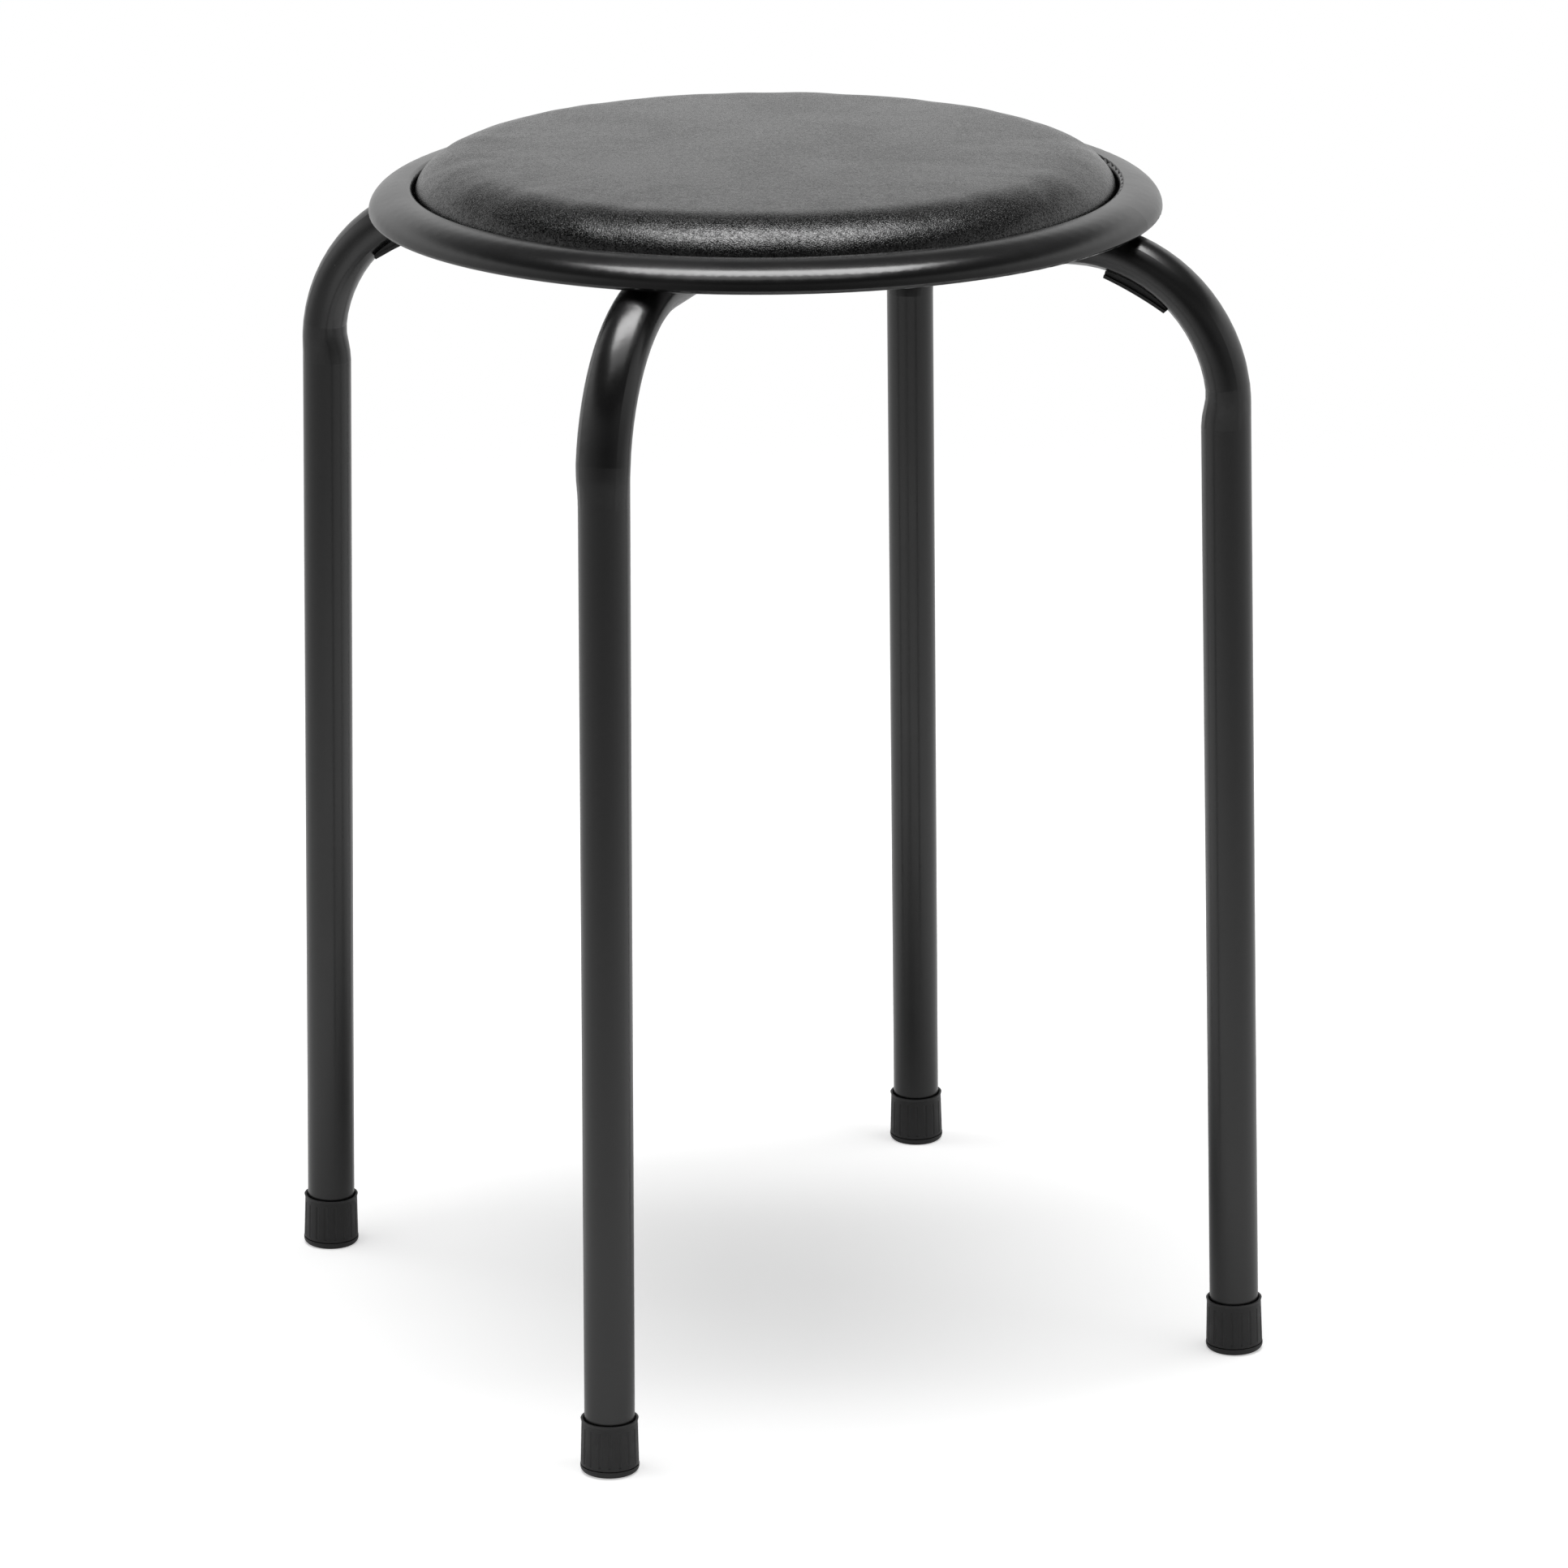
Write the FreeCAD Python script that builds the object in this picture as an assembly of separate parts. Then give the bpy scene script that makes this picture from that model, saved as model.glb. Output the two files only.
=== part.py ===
import FreeCAD, Part
import math
import os

from FreeCAD import Vector

# Padded stacking stool: two bent steel tube frames cross under a pressed steel seat
# pan, which holds a vinyl cushion in its recess. Millimetres, +Z up, the origin on
# the floor under the middle of the seat, one leg on each of +X, +Y, -X and -Y.

# Tube frames
TUBE_DIAMETER = 19.0
TUBE_WALL = 1.2
FOOT_CIRCLE_RADIUS = 191.5
FRAME_TOP_HEIGHT = 447.0
BEND_RADIUS = 59.0
BEND_START_INSIDE_RIM = 27.8
BEND_FLATTENING = 2.3
BEND_SPREADING = 1.3
BEND_RELIEF_ABOVE = 7.0
BEND_RELIEF_BELOW = 8.0
BEND_RELIEF_SECTIONS = 6
CROSSING_FLAT_MARGIN = 2.8
CROSSING_TAPER_LENGTH = 24.0
CROSSING_LAP_GAP = 0.2

# Seat pan
PAN_SHEET = 1.0
PAN_RIM_WIDTH = 14.7
PAN_RECESS_DEPTH = 7.0
PAN_RIM_DROP = 10.8
PAN_HEM_RADIUS = 1.5
PAN_CREST_ROLL = 2.0
PAN_FLOOR_FILLET = 2.5

# Cushion
CUSHION_RADIUS = 134.1
CUSHION_RECESS_CLEARANCE = 0.9
CUSHION_TUCK_RADIUS = 2.8
CUSHION_SHOULDER_WIDTH = 22.6
CUSHION_SHOULDER_HEIGHT = 15.4
CUSHION_CROWN = 1.6
COVER_THICKNESS = 0.8
COVER_TURN_UNDER = 18.0
BOARD_THICKNESS = 6.0
BOARD_EDGE_CLEARANCE = 0.3
STAPLE_COUNT = 24
STAPLE_CROWN_LENGTH = 10.0
STAPLE_WIRE = 0.6
STAPLE_WIRE_WIDTH = 1.0
STAPLE_LEG_DEPTH = 4.0
STAPLE_EDGE_INSET = 9.0

# Seat screws, up through the frames and the pan into flanged nuts in the board
SCREW_CIRCLE_RADIUS = 58.0
SCREW_DIAMETER = 6.0
SCREW_HOLE_CLEARANCE = 0.5
SCREW_HEAD_DIAMETER = 12.0
SCREW_HEAD_HEIGHT = 3.2
SCREW_HEAD_EDGE = 0.8
SCREW_SOCKET_WIDTH = 4.0
SCREW_SOCKET_DEPTH = 2.0
SCREW_TIP_INSET = 0.4
NUT_FLANGE_DIAMETER = 18.0
NUT_FLANGE_THICKNESS = 1.2
NUT_BARREL_DIAMETER = 8.0
NUT_BARREL_INSET = 0.4
NUT_THREAD_CLEARANCE = 0.1

# Stacking pads under the bends
PAD_START_DEG = 13.7
PAD_END_DEG = 44.5
PAD_START_DEPTH = 2.2
PAD_MIDDLE_DEPTH = 2.9
PAD_END_DEPTH = 1.2
PAD_LIP_THICKNESS = 1.2
PAD_LIP_HALF_WIDTH = 4.8
PAD_NECK_HALF_WIDTH = 3.8
PAD_SEAT_GAP = 0.1
PAD_PEG_DIAMETER = 4.0
PAD_PEG_CLEARANCE = 0.2
PAD_PEG_LENGTH = 3.0
PAD_PEG_END_DEG = 6.5
PAD_PEG_ROOT = 0.8

# Ribbed plastic feet
FOOT_HEIGHT = 21.0
FOOT_WALL = 1.05
FOOT_TUBE_FIT = 0.05
FOOT_SOLE_THICKNESS = 4.0
FOOT_FLARE = 0.4
FOOT_SOLE_BAND = 2.8
FOOT_SOLE_ROUND = 2.2
FOOT_SOLE_BULGE = 0.15
FOOT_GROOVE = 0.4
FOOT_MOUTH_LIP = 1.1
FOOT_MOUTH_PROUD = 0.3
FOOT_MOUTH_OPENING = 0.6
FOOT_FLUTE_COUNT = 18
FOOT_FLUTE_RADIUS = 1.1
FOOT_FLUTE_DEPTH = 0.25
FOOT_FLUTE_MARGIN = 1.6

# Heights and radii that follow from the sizes above
TUBE_RADIUS = TUBE_DIAMETER / 2
RECESS_RADIUS = CUSHION_RADIUS + CUSHION_RECESS_CLEARANCE
PAN_RADIUS = RECESS_RADIUS + PAN_CREST_ROLL + PAN_RIM_WIDTH
TUBE_AXIS_HEIGHT = FRAME_TOP_HEIGHT - TUBE_RADIUS
CROSSING_UNDERSIDE = FRAME_TOP_HEIGHT - TUBE_DIAMETER
BEND_OVAL_DEPTH = TUBE_DIAMETER - BEND_FLATTENING
BEND_OVAL_WIDTH = TUBE_DIAMETER + BEND_SPREADING
RUN_UNDERSIDE = FRAME_TOP_HEIGHT - BEND_OVAL_DEPTH
BEND_OUTER_RADIUS = BEND_RADIUS + TUBE_RADIUS
BEND_INNER_RADIUS = BEND_OUTER_RADIUS - BEND_OVAL_DEPTH
BEND_MIDDLE_RADIUS = BEND_OUTER_RADIUS - BEND_OVAL_DEPTH / 2
BEND_CENTRE_HEIGHT = TUBE_AXIS_HEIGHT - BEND_RADIUS
BEND_CENTRE_REACH = PAN_RADIUS - BEND_START_INSIDE_RIM
FOOT_PAST_BEND = FOOT_CIRCLE_RADIUS - BEND_CENTRE_REACH
FOOT_SIGHT_ANGLE = math.atan2(BEND_CENTRE_HEIGHT, FOOT_PAST_BEND)
SPLAY = math.acos(BEND_RADIUS / math.hypot(FOOT_PAST_BEND, BEND_CENTRE_HEIGHT)) - FOOT_SIGHT_ANGLE
LEG_SPLAY_DEG = math.degrees(SPLAY)
BEND_TURN_DEG = 90 - LEG_SPLAY_DEG
BEND_RELIEF_START_DEG = BEND_TURN_DEG - math.degrees(BEND_RELIEF_ABOVE / BEND_RADIUS)
CROSSING_FLAT_HEIGHT = (TUBE_DIAMETER - CROSSING_LAP_GAP) / 2
CROSSING_FLAT_WIDTH = CROSSING_FLAT_HEIGHT + math.pi * (TUBE_DIAMETER - CROSSING_FLAT_HEIGHT) / 2
CROSSING_FLAT_REACH = CROSSING_FLAT_WIDTH / 2 + CROSSING_FLAT_MARGIN
PAN_FLOOR_TOP = FRAME_TOP_HEIGHT + PAN_SHEET
PAN_CREST_HEIGHT = PAN_FLOOR_TOP + PAN_RECESS_DEPTH
PAN_HEM_HEIGHT = PAN_CREST_HEIGHT - PAN_RIM_DROP + PAN_HEM_RADIUS
COVER_BOTTOM = PAN_FLOOR_TOP + STAPLE_WIRE
CUSHION_WIDEST_HEIGHT = COVER_BOTTOM + CUSHION_TUCK_RADIUS
CUSHION_FLAT_RADIUS = CUSHION_RADIUS - CUSHION_TUCK_RADIUS
BOARD_BOTTOM = COVER_BOTTOM + COVER_THICKNESS
BOARD_TOP = BOARD_BOTTOM + BOARD_THICKNESS
BOARD_RADIUS = CUSHION_FLAT_RADIUS - BOARD_EDGE_CLEARANCE
SCREW_HOLE_RADIUS = (SCREW_DIAMETER + SCREW_HOLE_CLEARANCE) / 2
SCREW_TIP_HEIGHT = BOARD_TOP - SCREW_TIP_INSET
FOOT_BORE_RADIUS = TUBE_RADIUS + FOOT_TUBE_FIT
FOOT_TOP_RADIUS = FOOT_BORE_RADIUS + FOOT_WALL
FOOT_LOW_RADIUS = FOOT_TOP_RADIUS + FOOT_FLARE

LEG_SIDES = ("right", "back", "left", "front")
QUARTER_TURN = 90.0
ORIGIN = Vector(0, 0, 0)
X_AXIS = Vector(1, 0, 0)
Y_AXIS = Vector(0, 1, 0)
Z_AXIS = Vector(0, 0, 1)
CUT_PAST = 2.0
JOIN_TOLERANCE = 1e-6
HEXAGON_SIDES = 6


class Outline:
    """A closed outline of lines and arcs in the plane of radius (X) and height (Z)."""

    def __init__(self, radius, height):
        self.start = Vector(radius, 0, height)
        self.end = self.start
        self.edges = []

    def line(self, radius, height):
        target = Vector(radius, 0, height)
        if self.end.distanceToPoint(target) > JOIN_TOLERANCE:
            self.edges.append(Part.makeLine(self.end, target))
            self.end = target
        return self

    def arc(self, centre, semi_radius, semi_height, start_deg, end_deg):
        """Join to and follow a quarter, or less, of an ellipse about its centre."""
        points = []
        for part_way in (0.0, 0.5, 1.0):
            angle = math.radians(start_deg + (end_deg - start_deg) * part_way)
            along = semi_radius * math.cos(angle)
            up = semi_height * math.sin(angle)
            points.append(Vector(centre[0] + along, 0, centre[1] + up))
        self.line(points[0].x, points[0].z)
        if semi_radius == semi_height:
            self.edges.append(Part.Arc(self.end, points[1], points[2]).toShape())
        else:
            self.edges.append(ellipse_edge(centre, semi_radius, semi_height, start_deg, end_deg))
        self.end = points[2]
        return self

    def revolve(self):
        self.line(self.start.x, self.start.z)
        return Part.Face(Part.Wire(self.edges)).revolve(ORIGIN, Z_AXIS, 360)


def ellipse_edge(centre, semi_radius, semi_height, start_deg, end_deg):
    middle = Vector(centre[0], 0, centre[1])
    ellipse = Part.Ellipse(
        middle + X_AXIS * semi_radius,
        middle + Z_AXIS * semi_height,
        middle,
    )
    low = math.radians(min(start_deg, end_deg))
    high = math.radians(max(start_deg, end_deg))
    return Part.ArcOfEllipse(ellipse, low, high).toShape()


def turned(shape, side):
    """A copy of a piece made on the +X leg, turned to the leg of the given side."""
    copy = shape.copy()
    copy.rotate(ORIGIN, Z_AXIS, QUARTER_TURN * LEG_SIDES.index(side))
    return copy


def upright_rod(radius, reach, low, high):
    return Part.makeCylinder(radius, high - low, Vector(reach, 0, low), Z_AXIS)


# Cross-sections of the tube, each made of four matching edges so that lofts run true
def oval_section(half_width, half_height):
    ellipse = Part.Ellipse(ORIGIN, half_width, half_height)
    corners = [math.radians(angle) for angle in (-45, 45, 135, 225, 315)]
    edges = []
    for start, end in zip(corners[:-1], corners[1:]):
        edges.append(Part.ArcOfEllipse(ellipse, start, end).toShape())
    return Part.Wire(edges)


def slot_section(width, height, inset):
    """A tube pressed between flats to a width and height, inset by its wall."""
    half_height = height / 2 - inset
    straight = (width - height) / 2
    half_width = straight + half_height
    right = Part.Arc(
        Vector(straight, -half_height, 0),
        Vector(half_width, 0, 0),
        Vector(straight, half_height, 0),
    )
    left = Part.Arc(
        Vector(-straight, half_height, 0),
        Vector(-half_width, 0, 0),
        Vector(-straight, -half_height, 0),
    )
    top = Part.makeLine(Vector(straight, half_height, 0), Vector(-straight, half_height, 0))
    bottom = Part.makeLine(Vector(-straight, -half_height, 0), Vector(straight, -half_height, 0))
    return Part.Wire([right.toShape(), top, left.toShape(), bottom])


def stand_section(section, centre, outward):
    """Put a section across the tube's path, its height along the outward direction."""
    path = Y_AXIS.cross(outward)
    placed = section.copy()
    placed.Placement = FreeCAD.Placement(centre, FreeCAD.Rotation(Y_AXIS, outward, path, "XYZ"))
    return placed


def bend_point(radius, from_top_deg):
    """A point of the +X bend, at a distance from its centre and an angle from its top."""
    angle = math.radians(from_top_deg)
    return Vector(
        BEND_CENTRE_REACH + radius * math.sin(angle),
        0,
        BEND_CENTRE_HEIGHT + radius * math.cos(angle),
    )


def bend_outward(from_top_deg):
    return bend_point(1, from_top_deg) - bend_point(0, from_top_deg)


def bend_oval(inset, from_top_deg):
    """The bend's oval section, inset by a wall, standing at an angle from its top."""
    oval = oval_section(BEND_OVAL_WIDTH / 2 - inset, BEND_OVAL_DEPTH / 2 - inset)
    centre = bend_point(BEND_MIDDLE_RADIUS, from_top_deg)
    return stand_section(oval, centre, bend_outward(from_top_deg))


def oval_bend(inset):
    """The bend, which the bending die has drawn oval, down to where the oval fades."""
    start = Part.Face(bend_oval(inset, BEND_RELIEF_START_DEG))
    return start.revolve(bend_point(0, 0), -Y_AXIS, BEND_RELIEF_START_DEG)


def leg_down():
    outward = bend_outward(BEND_TURN_DEG)
    return Vector(outward.z, 0, -outward.x)


def relief_section(inset, way):
    """The section at a share of the way along the relief, from the oval to the round."""
    oval_left = 1 - way ** 2 * (3 - 2 * way)
    depth = TUBE_DIAMETER - BEND_FLATTENING * oval_left
    width = TUBE_DIAMETER + BEND_SPREADING * oval_left
    past_foot = way * (BEND_RELIEF_ABOVE + BEND_RELIEF_BELOW) - BEND_RELIEF_ABOVE
    angle = BEND_TURN_DEG + math.degrees(min(past_foot, 0) / BEND_RADIUS)
    centre = bend_point(BEND_OUTER_RADIUS - depth / 2, angle) + leg_down() * max(past_foot, 0)
    section = oval_section(width / 2 - inset, depth / 2 - inset)
    return stand_section(section, centre, bend_outward(angle))


def upright_leg(inset, leg_end_height):
    """The straight leg and, above it, the relief where the bend's oval fades out."""
    sections = []
    for index in range(BEND_RELIEF_SECTIONS + 1):
        sections.append(relief_section(inset, index / BEND_RELIEF_SECTIONS))
    leg_start = bend_point(BEND_RADIUS, BEND_TURN_DEG) + leg_down() * BEND_RELIEF_BELOW
    leg_length = (leg_start.z - leg_end_height) / math.cos(SPLAY)
    upright = Part.makeCylinder(TUBE_RADIUS - inset, leg_length, leg_start, leg_down())
    return [upright, Part.makeLoft(sections, True, False)]


def run_to_crossing(inset, crossing_centre_height):
    """The level half of a frame, still oval, and the flat where the frames cross."""
    flat_section = slot_section(CROSSING_FLAT_WIDTH, CROSSING_FLAT_HEIGHT, inset)
    flat_start = Vector(CROSSING_FLAT_REACH, 0, crossing_centre_height)
    flat_at_taper = stand_section(flat_section, flat_start, Z_AXIS)
    taper_reach = CROSSING_FLAT_REACH + CROSSING_TAPER_LENGTH
    run_start = bend_oval(inset, 0)
    to_taper = -X_AXIS * (BEND_CENTRE_REACH - taper_reach)
    run = Part.Face(run_start).extrude(to_taper)
    run_end = run_start.copy()
    run_end.translate(to_taper)
    taper = Part.makeLoft([run_end, flat_at_taper], True, True)
    flat = Part.Face(flat_at_taper).extrude(-X_AXIS * CROSSING_FLAT_REACH)
    return [run, taper, flat]


def whole_rod(inset, crossing_centre_height, leg_end_height):
    pieces = upright_leg(inset, leg_end_height) + run_to_crossing(inset, crossing_centre_height)
    half = oval_bend(inset).multiFuse(pieces)
    return half.fuse(half.mirror(ORIGIN, X_AXIS)).removeSplitter()


def pad_pegs(clearance):
    """The two pegs that hold a stacking pad, pointing out from the bend's centre."""
    pegs = []
    for angle in (PAD_START_DEG + PAD_PEG_END_DEG, PAD_END_DEG - PAD_PEG_END_DEG):
        root = bend_point(BEND_INNER_RADIUS - PAD_PEG_ROOT, angle)
        length = PAD_PEG_ROOT + PAD_PEG_LENGTH + clearance
        radius = PAD_PEG_DIAMETER / 2 + clearance
        pegs.append(Part.makeCylinder(radius, length, root, bend_outward(angle)))
    return pegs


def leg_frame(flat_is_upper):
    """A bent tube with two legs, pressed flat where it crosses the other frame."""
    step = (CROSSING_FLAT_HEIGHT + CROSSING_LAP_GAP) / 2
    centre_height = TUBE_AXIS_HEIGHT + (step if flat_is_upper else -step)
    steel = whole_rod(0, centre_height, FOOT_SOLE_THICKNESS)
    bore = whole_rod(TUBE_WALL, centre_height, FOOT_SOLE_THICKNESS - CUT_PAST)
    pegs = Part.makeCompound(pad_pegs(PAD_PEG_CLEARANCE))
    holes = [pegs, pegs.mirror(ORIGIN, X_AXIS)]
    for reach in (-SCREW_CIRCLE_RADIUS, 0, SCREW_CIRCLE_RADIUS):
        low = CROSSING_UNDERSIDE - CUT_PAST
        holes.append(upright_rod(SCREW_HOLE_RADIUS, reach, low, FRAME_TOP_HEIGHT + CUT_PAST))
    return steel.cut(bore).cut(Part.makeCompound(holes))


def seat_pan():
    """The pressed pan: a recessed floor, a rolled crest, a convex rim and a hem."""
    wall = RECESS_RADIUS
    floor_corner = (wall - PAN_FLOOR_FILLET, PAN_FLOOR_TOP + PAN_FLOOR_FILLET)
    crest_centre = (wall + PAN_CREST_ROLL, PAN_CREST_HEIGHT - PAN_CREST_ROLL)
    rim_centre = (wall + PAN_CREST_ROLL, PAN_HEM_HEIGHT)
    rim_width = PAN_RADIUS - rim_centre[0]
    rim_height = PAN_CREST_HEIGHT - PAN_HEM_HEIGHT
    hem_centre = (PAN_RADIUS - PAN_HEM_RADIUS, PAN_HEM_HEIGHT)
    hem_inside = PAN_HEM_RADIUS - PAN_SHEET
    crest_inside = PAN_CREST_ROLL - PAN_SHEET
    floor_outside = PAN_FLOOR_FILLET + PAN_SHEET
    pan = Outline(0, PAN_FLOOR_TOP)
    pan.arc(floor_corner, PAN_FLOOR_FILLET, PAN_FLOOR_FILLET, -90, 0)
    pan.arc(crest_centre, PAN_CREST_ROLL, PAN_CREST_ROLL, 180, 90)
    pan.arc(rim_centre, rim_width, rim_height, 90, 0)
    pan.arc(hem_centre, PAN_HEM_RADIUS, PAN_HEM_RADIUS, 0, -90)
    pan.arc(hem_centre, PAN_HEM_RADIUS, PAN_HEM_RADIUS, -90, -180)
    pan.arc(hem_centre, hem_inside, hem_inside, 180, 270)
    pan.arc(hem_centre, hem_inside, hem_inside, 270, 360)
    pan.arc(rim_centre, rim_width - PAN_SHEET, rim_height - PAN_SHEET, 0, 90)
    pan.arc(crest_centre, crest_inside, crest_inside, 90, 180)
    pan.arc(floor_corner, floor_outside, floor_outside, 0, -90)
    pan.line(0, FRAME_TOP_HEIGHT)
    return pan.revolve().cut(seat_screw_holes(FRAME_TOP_HEIGHT, PAN_FLOOR_TOP))


def seat_screw_holes(low, high):
    """Clearance holes for the five seat screws through what lies between two heights."""
    hole = upright_rod(SCREW_HOLE_RADIUS, SCREW_CIRCLE_RADIUS, low - CUT_PAST, high + CUT_PAST)
    holes = [turned(hole, side) for side in LEG_SIDES]
    holes.append(upright_rod(SCREW_HOLE_RADIUS, 0, low - CUT_PAST, high + CUT_PAST))
    return Part.makeCompound(holes)


def cushion_form(inset):
    """The cushion's crowned form, inset by the cover's thickness or by nothing."""
    shoulder = CUSHION_RADIUS - CUSHION_SHOULDER_WIDTH
    shoulder_top = CUSHION_WIDEST_HEIGHT + CUSHION_SHOULDER_HEIGHT - inset
    crown_rise = CUSHION_CROWN
    crown_radius = (shoulder ** 2 + crown_rise ** 2) / (2 * crown_rise)
    crown_turn = math.degrees(math.asin(shoulder / crown_radius))
    crown_centre = (0, shoulder_top + crown_rise - crown_radius)
    tuck_centre = (CUSHION_FLAT_RADIUS, CUSHION_WIDEST_HEIGHT)
    tuck = CUSHION_TUCK_RADIUS - inset
    side_width = CUSHION_SHOULDER_WIDTH - inset
    side_height = CUSHION_SHOULDER_HEIGHT - inset
    form = Outline(0, COVER_BOTTOM + inset)
    form.arc(tuck_centre, tuck, tuck, -90, 0)
    form.arc((shoulder, CUSHION_WIDEST_HEIGHT), side_width, side_height, 0, 90)
    form.arc(crown_centre, crown_radius, crown_radius, 90 - crown_turn, 90)
    return form.revolve()


def cushion_cover(staples):
    """The vinyl skin, turned under the board's edge and open below its middle."""
    open_radius = CUSHION_FLAT_RADIUS - COVER_TURN_UNDER
    opening = upright_rod(open_radius, 0, COVER_BOTTOM - CUT_PAST, BOARD_BOTTOM)
    return cushion_form(0).cut(cushion_form(COVER_THICKNESS)).cut(opening).cut(staples)


def cushion_board(staples):
    """The plywood disc that the foam lies on, with a seat sunk for each nut."""
    board = upright_rod(BOARD_RADIUS, 0, BOARD_BOTTOM, BOARD_TOP)
    seats = [turned(nut_envelope(SCREW_CIRCLE_RADIUS), side) for side in LEG_SIDES]
    seats.append(nut_envelope(0))
    holes = seat_screw_holes(BOARD_BOTTOM, BOARD_TOP)
    return board.cut(Part.makeCompound(seats)).cut(holes).cut(staples)


def cushion_foam():
    """The foam, which fills the cover over the board and round the board's edge."""
    return cushion_form(COVER_THICKNESS).cut(upright_rod(BOARD_RADIUS, 0, BOARD_BOTTOM, BOARD_TOP))


def cover_staples():
    """The ring of staples that holds the turned-under vinyl to the board."""
    reach = CUSHION_FLAT_RADIUS - STAPLE_EDGE_INSET
    half_crown = STAPLE_CROWN_LENGTH / 2
    corner = Vector(reach - STAPLE_WIRE_WIDTH / 2, -half_crown, PAN_FLOOR_TOP)
    staple = Part.makeBox(STAPLE_WIRE_WIDTH, STAPLE_CROWN_LENGTH, STAPLE_WIRE, corner)
    leg_top = BOARD_BOTTOM + STAPLE_LEG_DEPTH
    for side in (-half_crown, half_crown - STAPLE_WIRE):
        foot = Vector(corner.x, side, PAN_FLOOR_TOP)
        leg = Part.makeBox(STAPLE_WIRE_WIDTH, STAPLE_WIRE, leg_top - PAN_FLOOR_TOP, foot)
        staple = staple.fuse(leg)
    staple = staple.removeSplitter()
    ring = []
    for index in range(STAPLE_COUNT):
        copy = staple.copy()
        copy.rotate(ORIGIN, Z_AXIS, (index + 0.5) * 360 / STAPLE_COUNT)
        ring.append(copy)
    return Part.makeCompound(ring)


def seat_screw(reach, bearing_height):
    """A pan-head screw with a hexagon socket, its head against a tube's flat underside."""
    head_radius = SCREW_HEAD_DIAMETER / 2
    dome = SCREW_HEAD_HEIGHT - SCREW_HEAD_EDGE
    crown_radius = (head_radius ** 2 + dome ** 2) / (2 * dome)
    crown_turn = math.degrees(math.asin(head_radius / crown_radius))
    head_low = bearing_height - SCREW_HEAD_HEIGHT
    screw = Outline(0, head_low)
    screw.arc((0, head_low + crown_radius), crown_radius, crown_radius, -90, crown_turn - 90)
    screw.line(head_radius, bearing_height)
    screw.line(SCREW_DIAMETER / 2, bearing_height)
    screw.line(SCREW_DIAMETER / 2, SCREW_TIP_HEIGHT)
    screw.line(0, SCREW_TIP_HEIGHT)
    solid = screw.revolve()
    solid.translate(X_AXIS * reach)
    return solid.cut(hexagon_socket(reach, head_low))


def hexagon_socket(reach, face_height):
    corner_radius = SCREW_SOCKET_WIDTH / math.sqrt(3)
    corners = []
    for index in range(HEXAGON_SIDES + 1):
        angle = math.radians(index * 360 / HEXAGON_SIDES)
        across = corner_radius * math.sin(angle)
        along = reach + corner_radius * math.cos(angle)
        corners.append(Vector(along, across, face_height - CUT_PAST))
    depth = CUT_PAST + SCREW_SOCKET_DEPTH
    return Part.Face(Part.makePolygon(corners)).extrude(Z_AXIS * depth)


def nut_envelope(reach):
    """The outside of a flanged nut, which is also the seat that it needs in the board."""
    flange = upright_rod(NUT_FLANGE_DIAMETER / 2, reach, BOARD_TOP - NUT_FLANGE_THICKNESS, BOARD_TOP)
    barrel = upright_rod(NUT_BARREL_DIAMETER / 2, reach, BOARD_BOTTOM + NUT_BARREL_INSET, BOARD_TOP)
    return flange.fuse(barrel).removeSplitter()


def board_nut(reach):
    thread_radius = (SCREW_DIAMETER + NUT_THREAD_CLEARANCE) / 2
    bore = upright_rod(thread_radius, reach, BOARD_BOTTOM, BOARD_TOP + CUT_PAST)
    return nut_envelope(reach).cut(bore)


def pad_band(half_width, inner_depths, outer_depths):
    """A band under the bend, between two arcs given by their depths below the tube."""
    angles = (PAD_START_DEG, (PAD_START_DEG + PAD_END_DEG) / 2, PAD_END_DEG)
    rows = []
    for depths in (inner_depths, outer_depths):
        rows.append([bend_point(BEND_INNER_RADIUS - d, a) for d, a in zip(depths, angles)])
    inner, outer = rows
    outline = Part.Wire([
        Part.Arc(*inner).toShape(),
        Part.makeLine(inner[-1], outer[-1]),
        Part.Arc(*reversed(outer)).toShape(),
        Part.makeLine(outer[0], inner[0]),
    ])
    band = Part.Face(outline).extrude(Y_AXIS * 2 * half_width)
    band.translate(-Y_AXIS * half_width)
    return band


def stacking_pad():
    """A pad under the bend: a neck against the tube, a wider lip below, and two pegs."""
    foot_depths = (PAD_START_DEPTH, PAD_MIDDLE_DEPTH, PAD_END_DEPTH)
    lip_depths = [depth - PAD_LIP_THICKNESS for depth in foot_depths]
    inside_tube = [-BEND_OVAL_DEPTH / 2] * len(foot_depths)
    neck = pad_band(PAD_NECK_HALF_WIDTH, foot_depths, inside_tube)
    lip = pad_band(PAD_LIP_HALF_WIDTH, foot_depths, lip_depths)
    block = neck.fuse(lip).cut(oval_bend(-PAD_SEAT_GAP))
    return block.fuse(pad_pegs(0)).removeSplitter()


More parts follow.
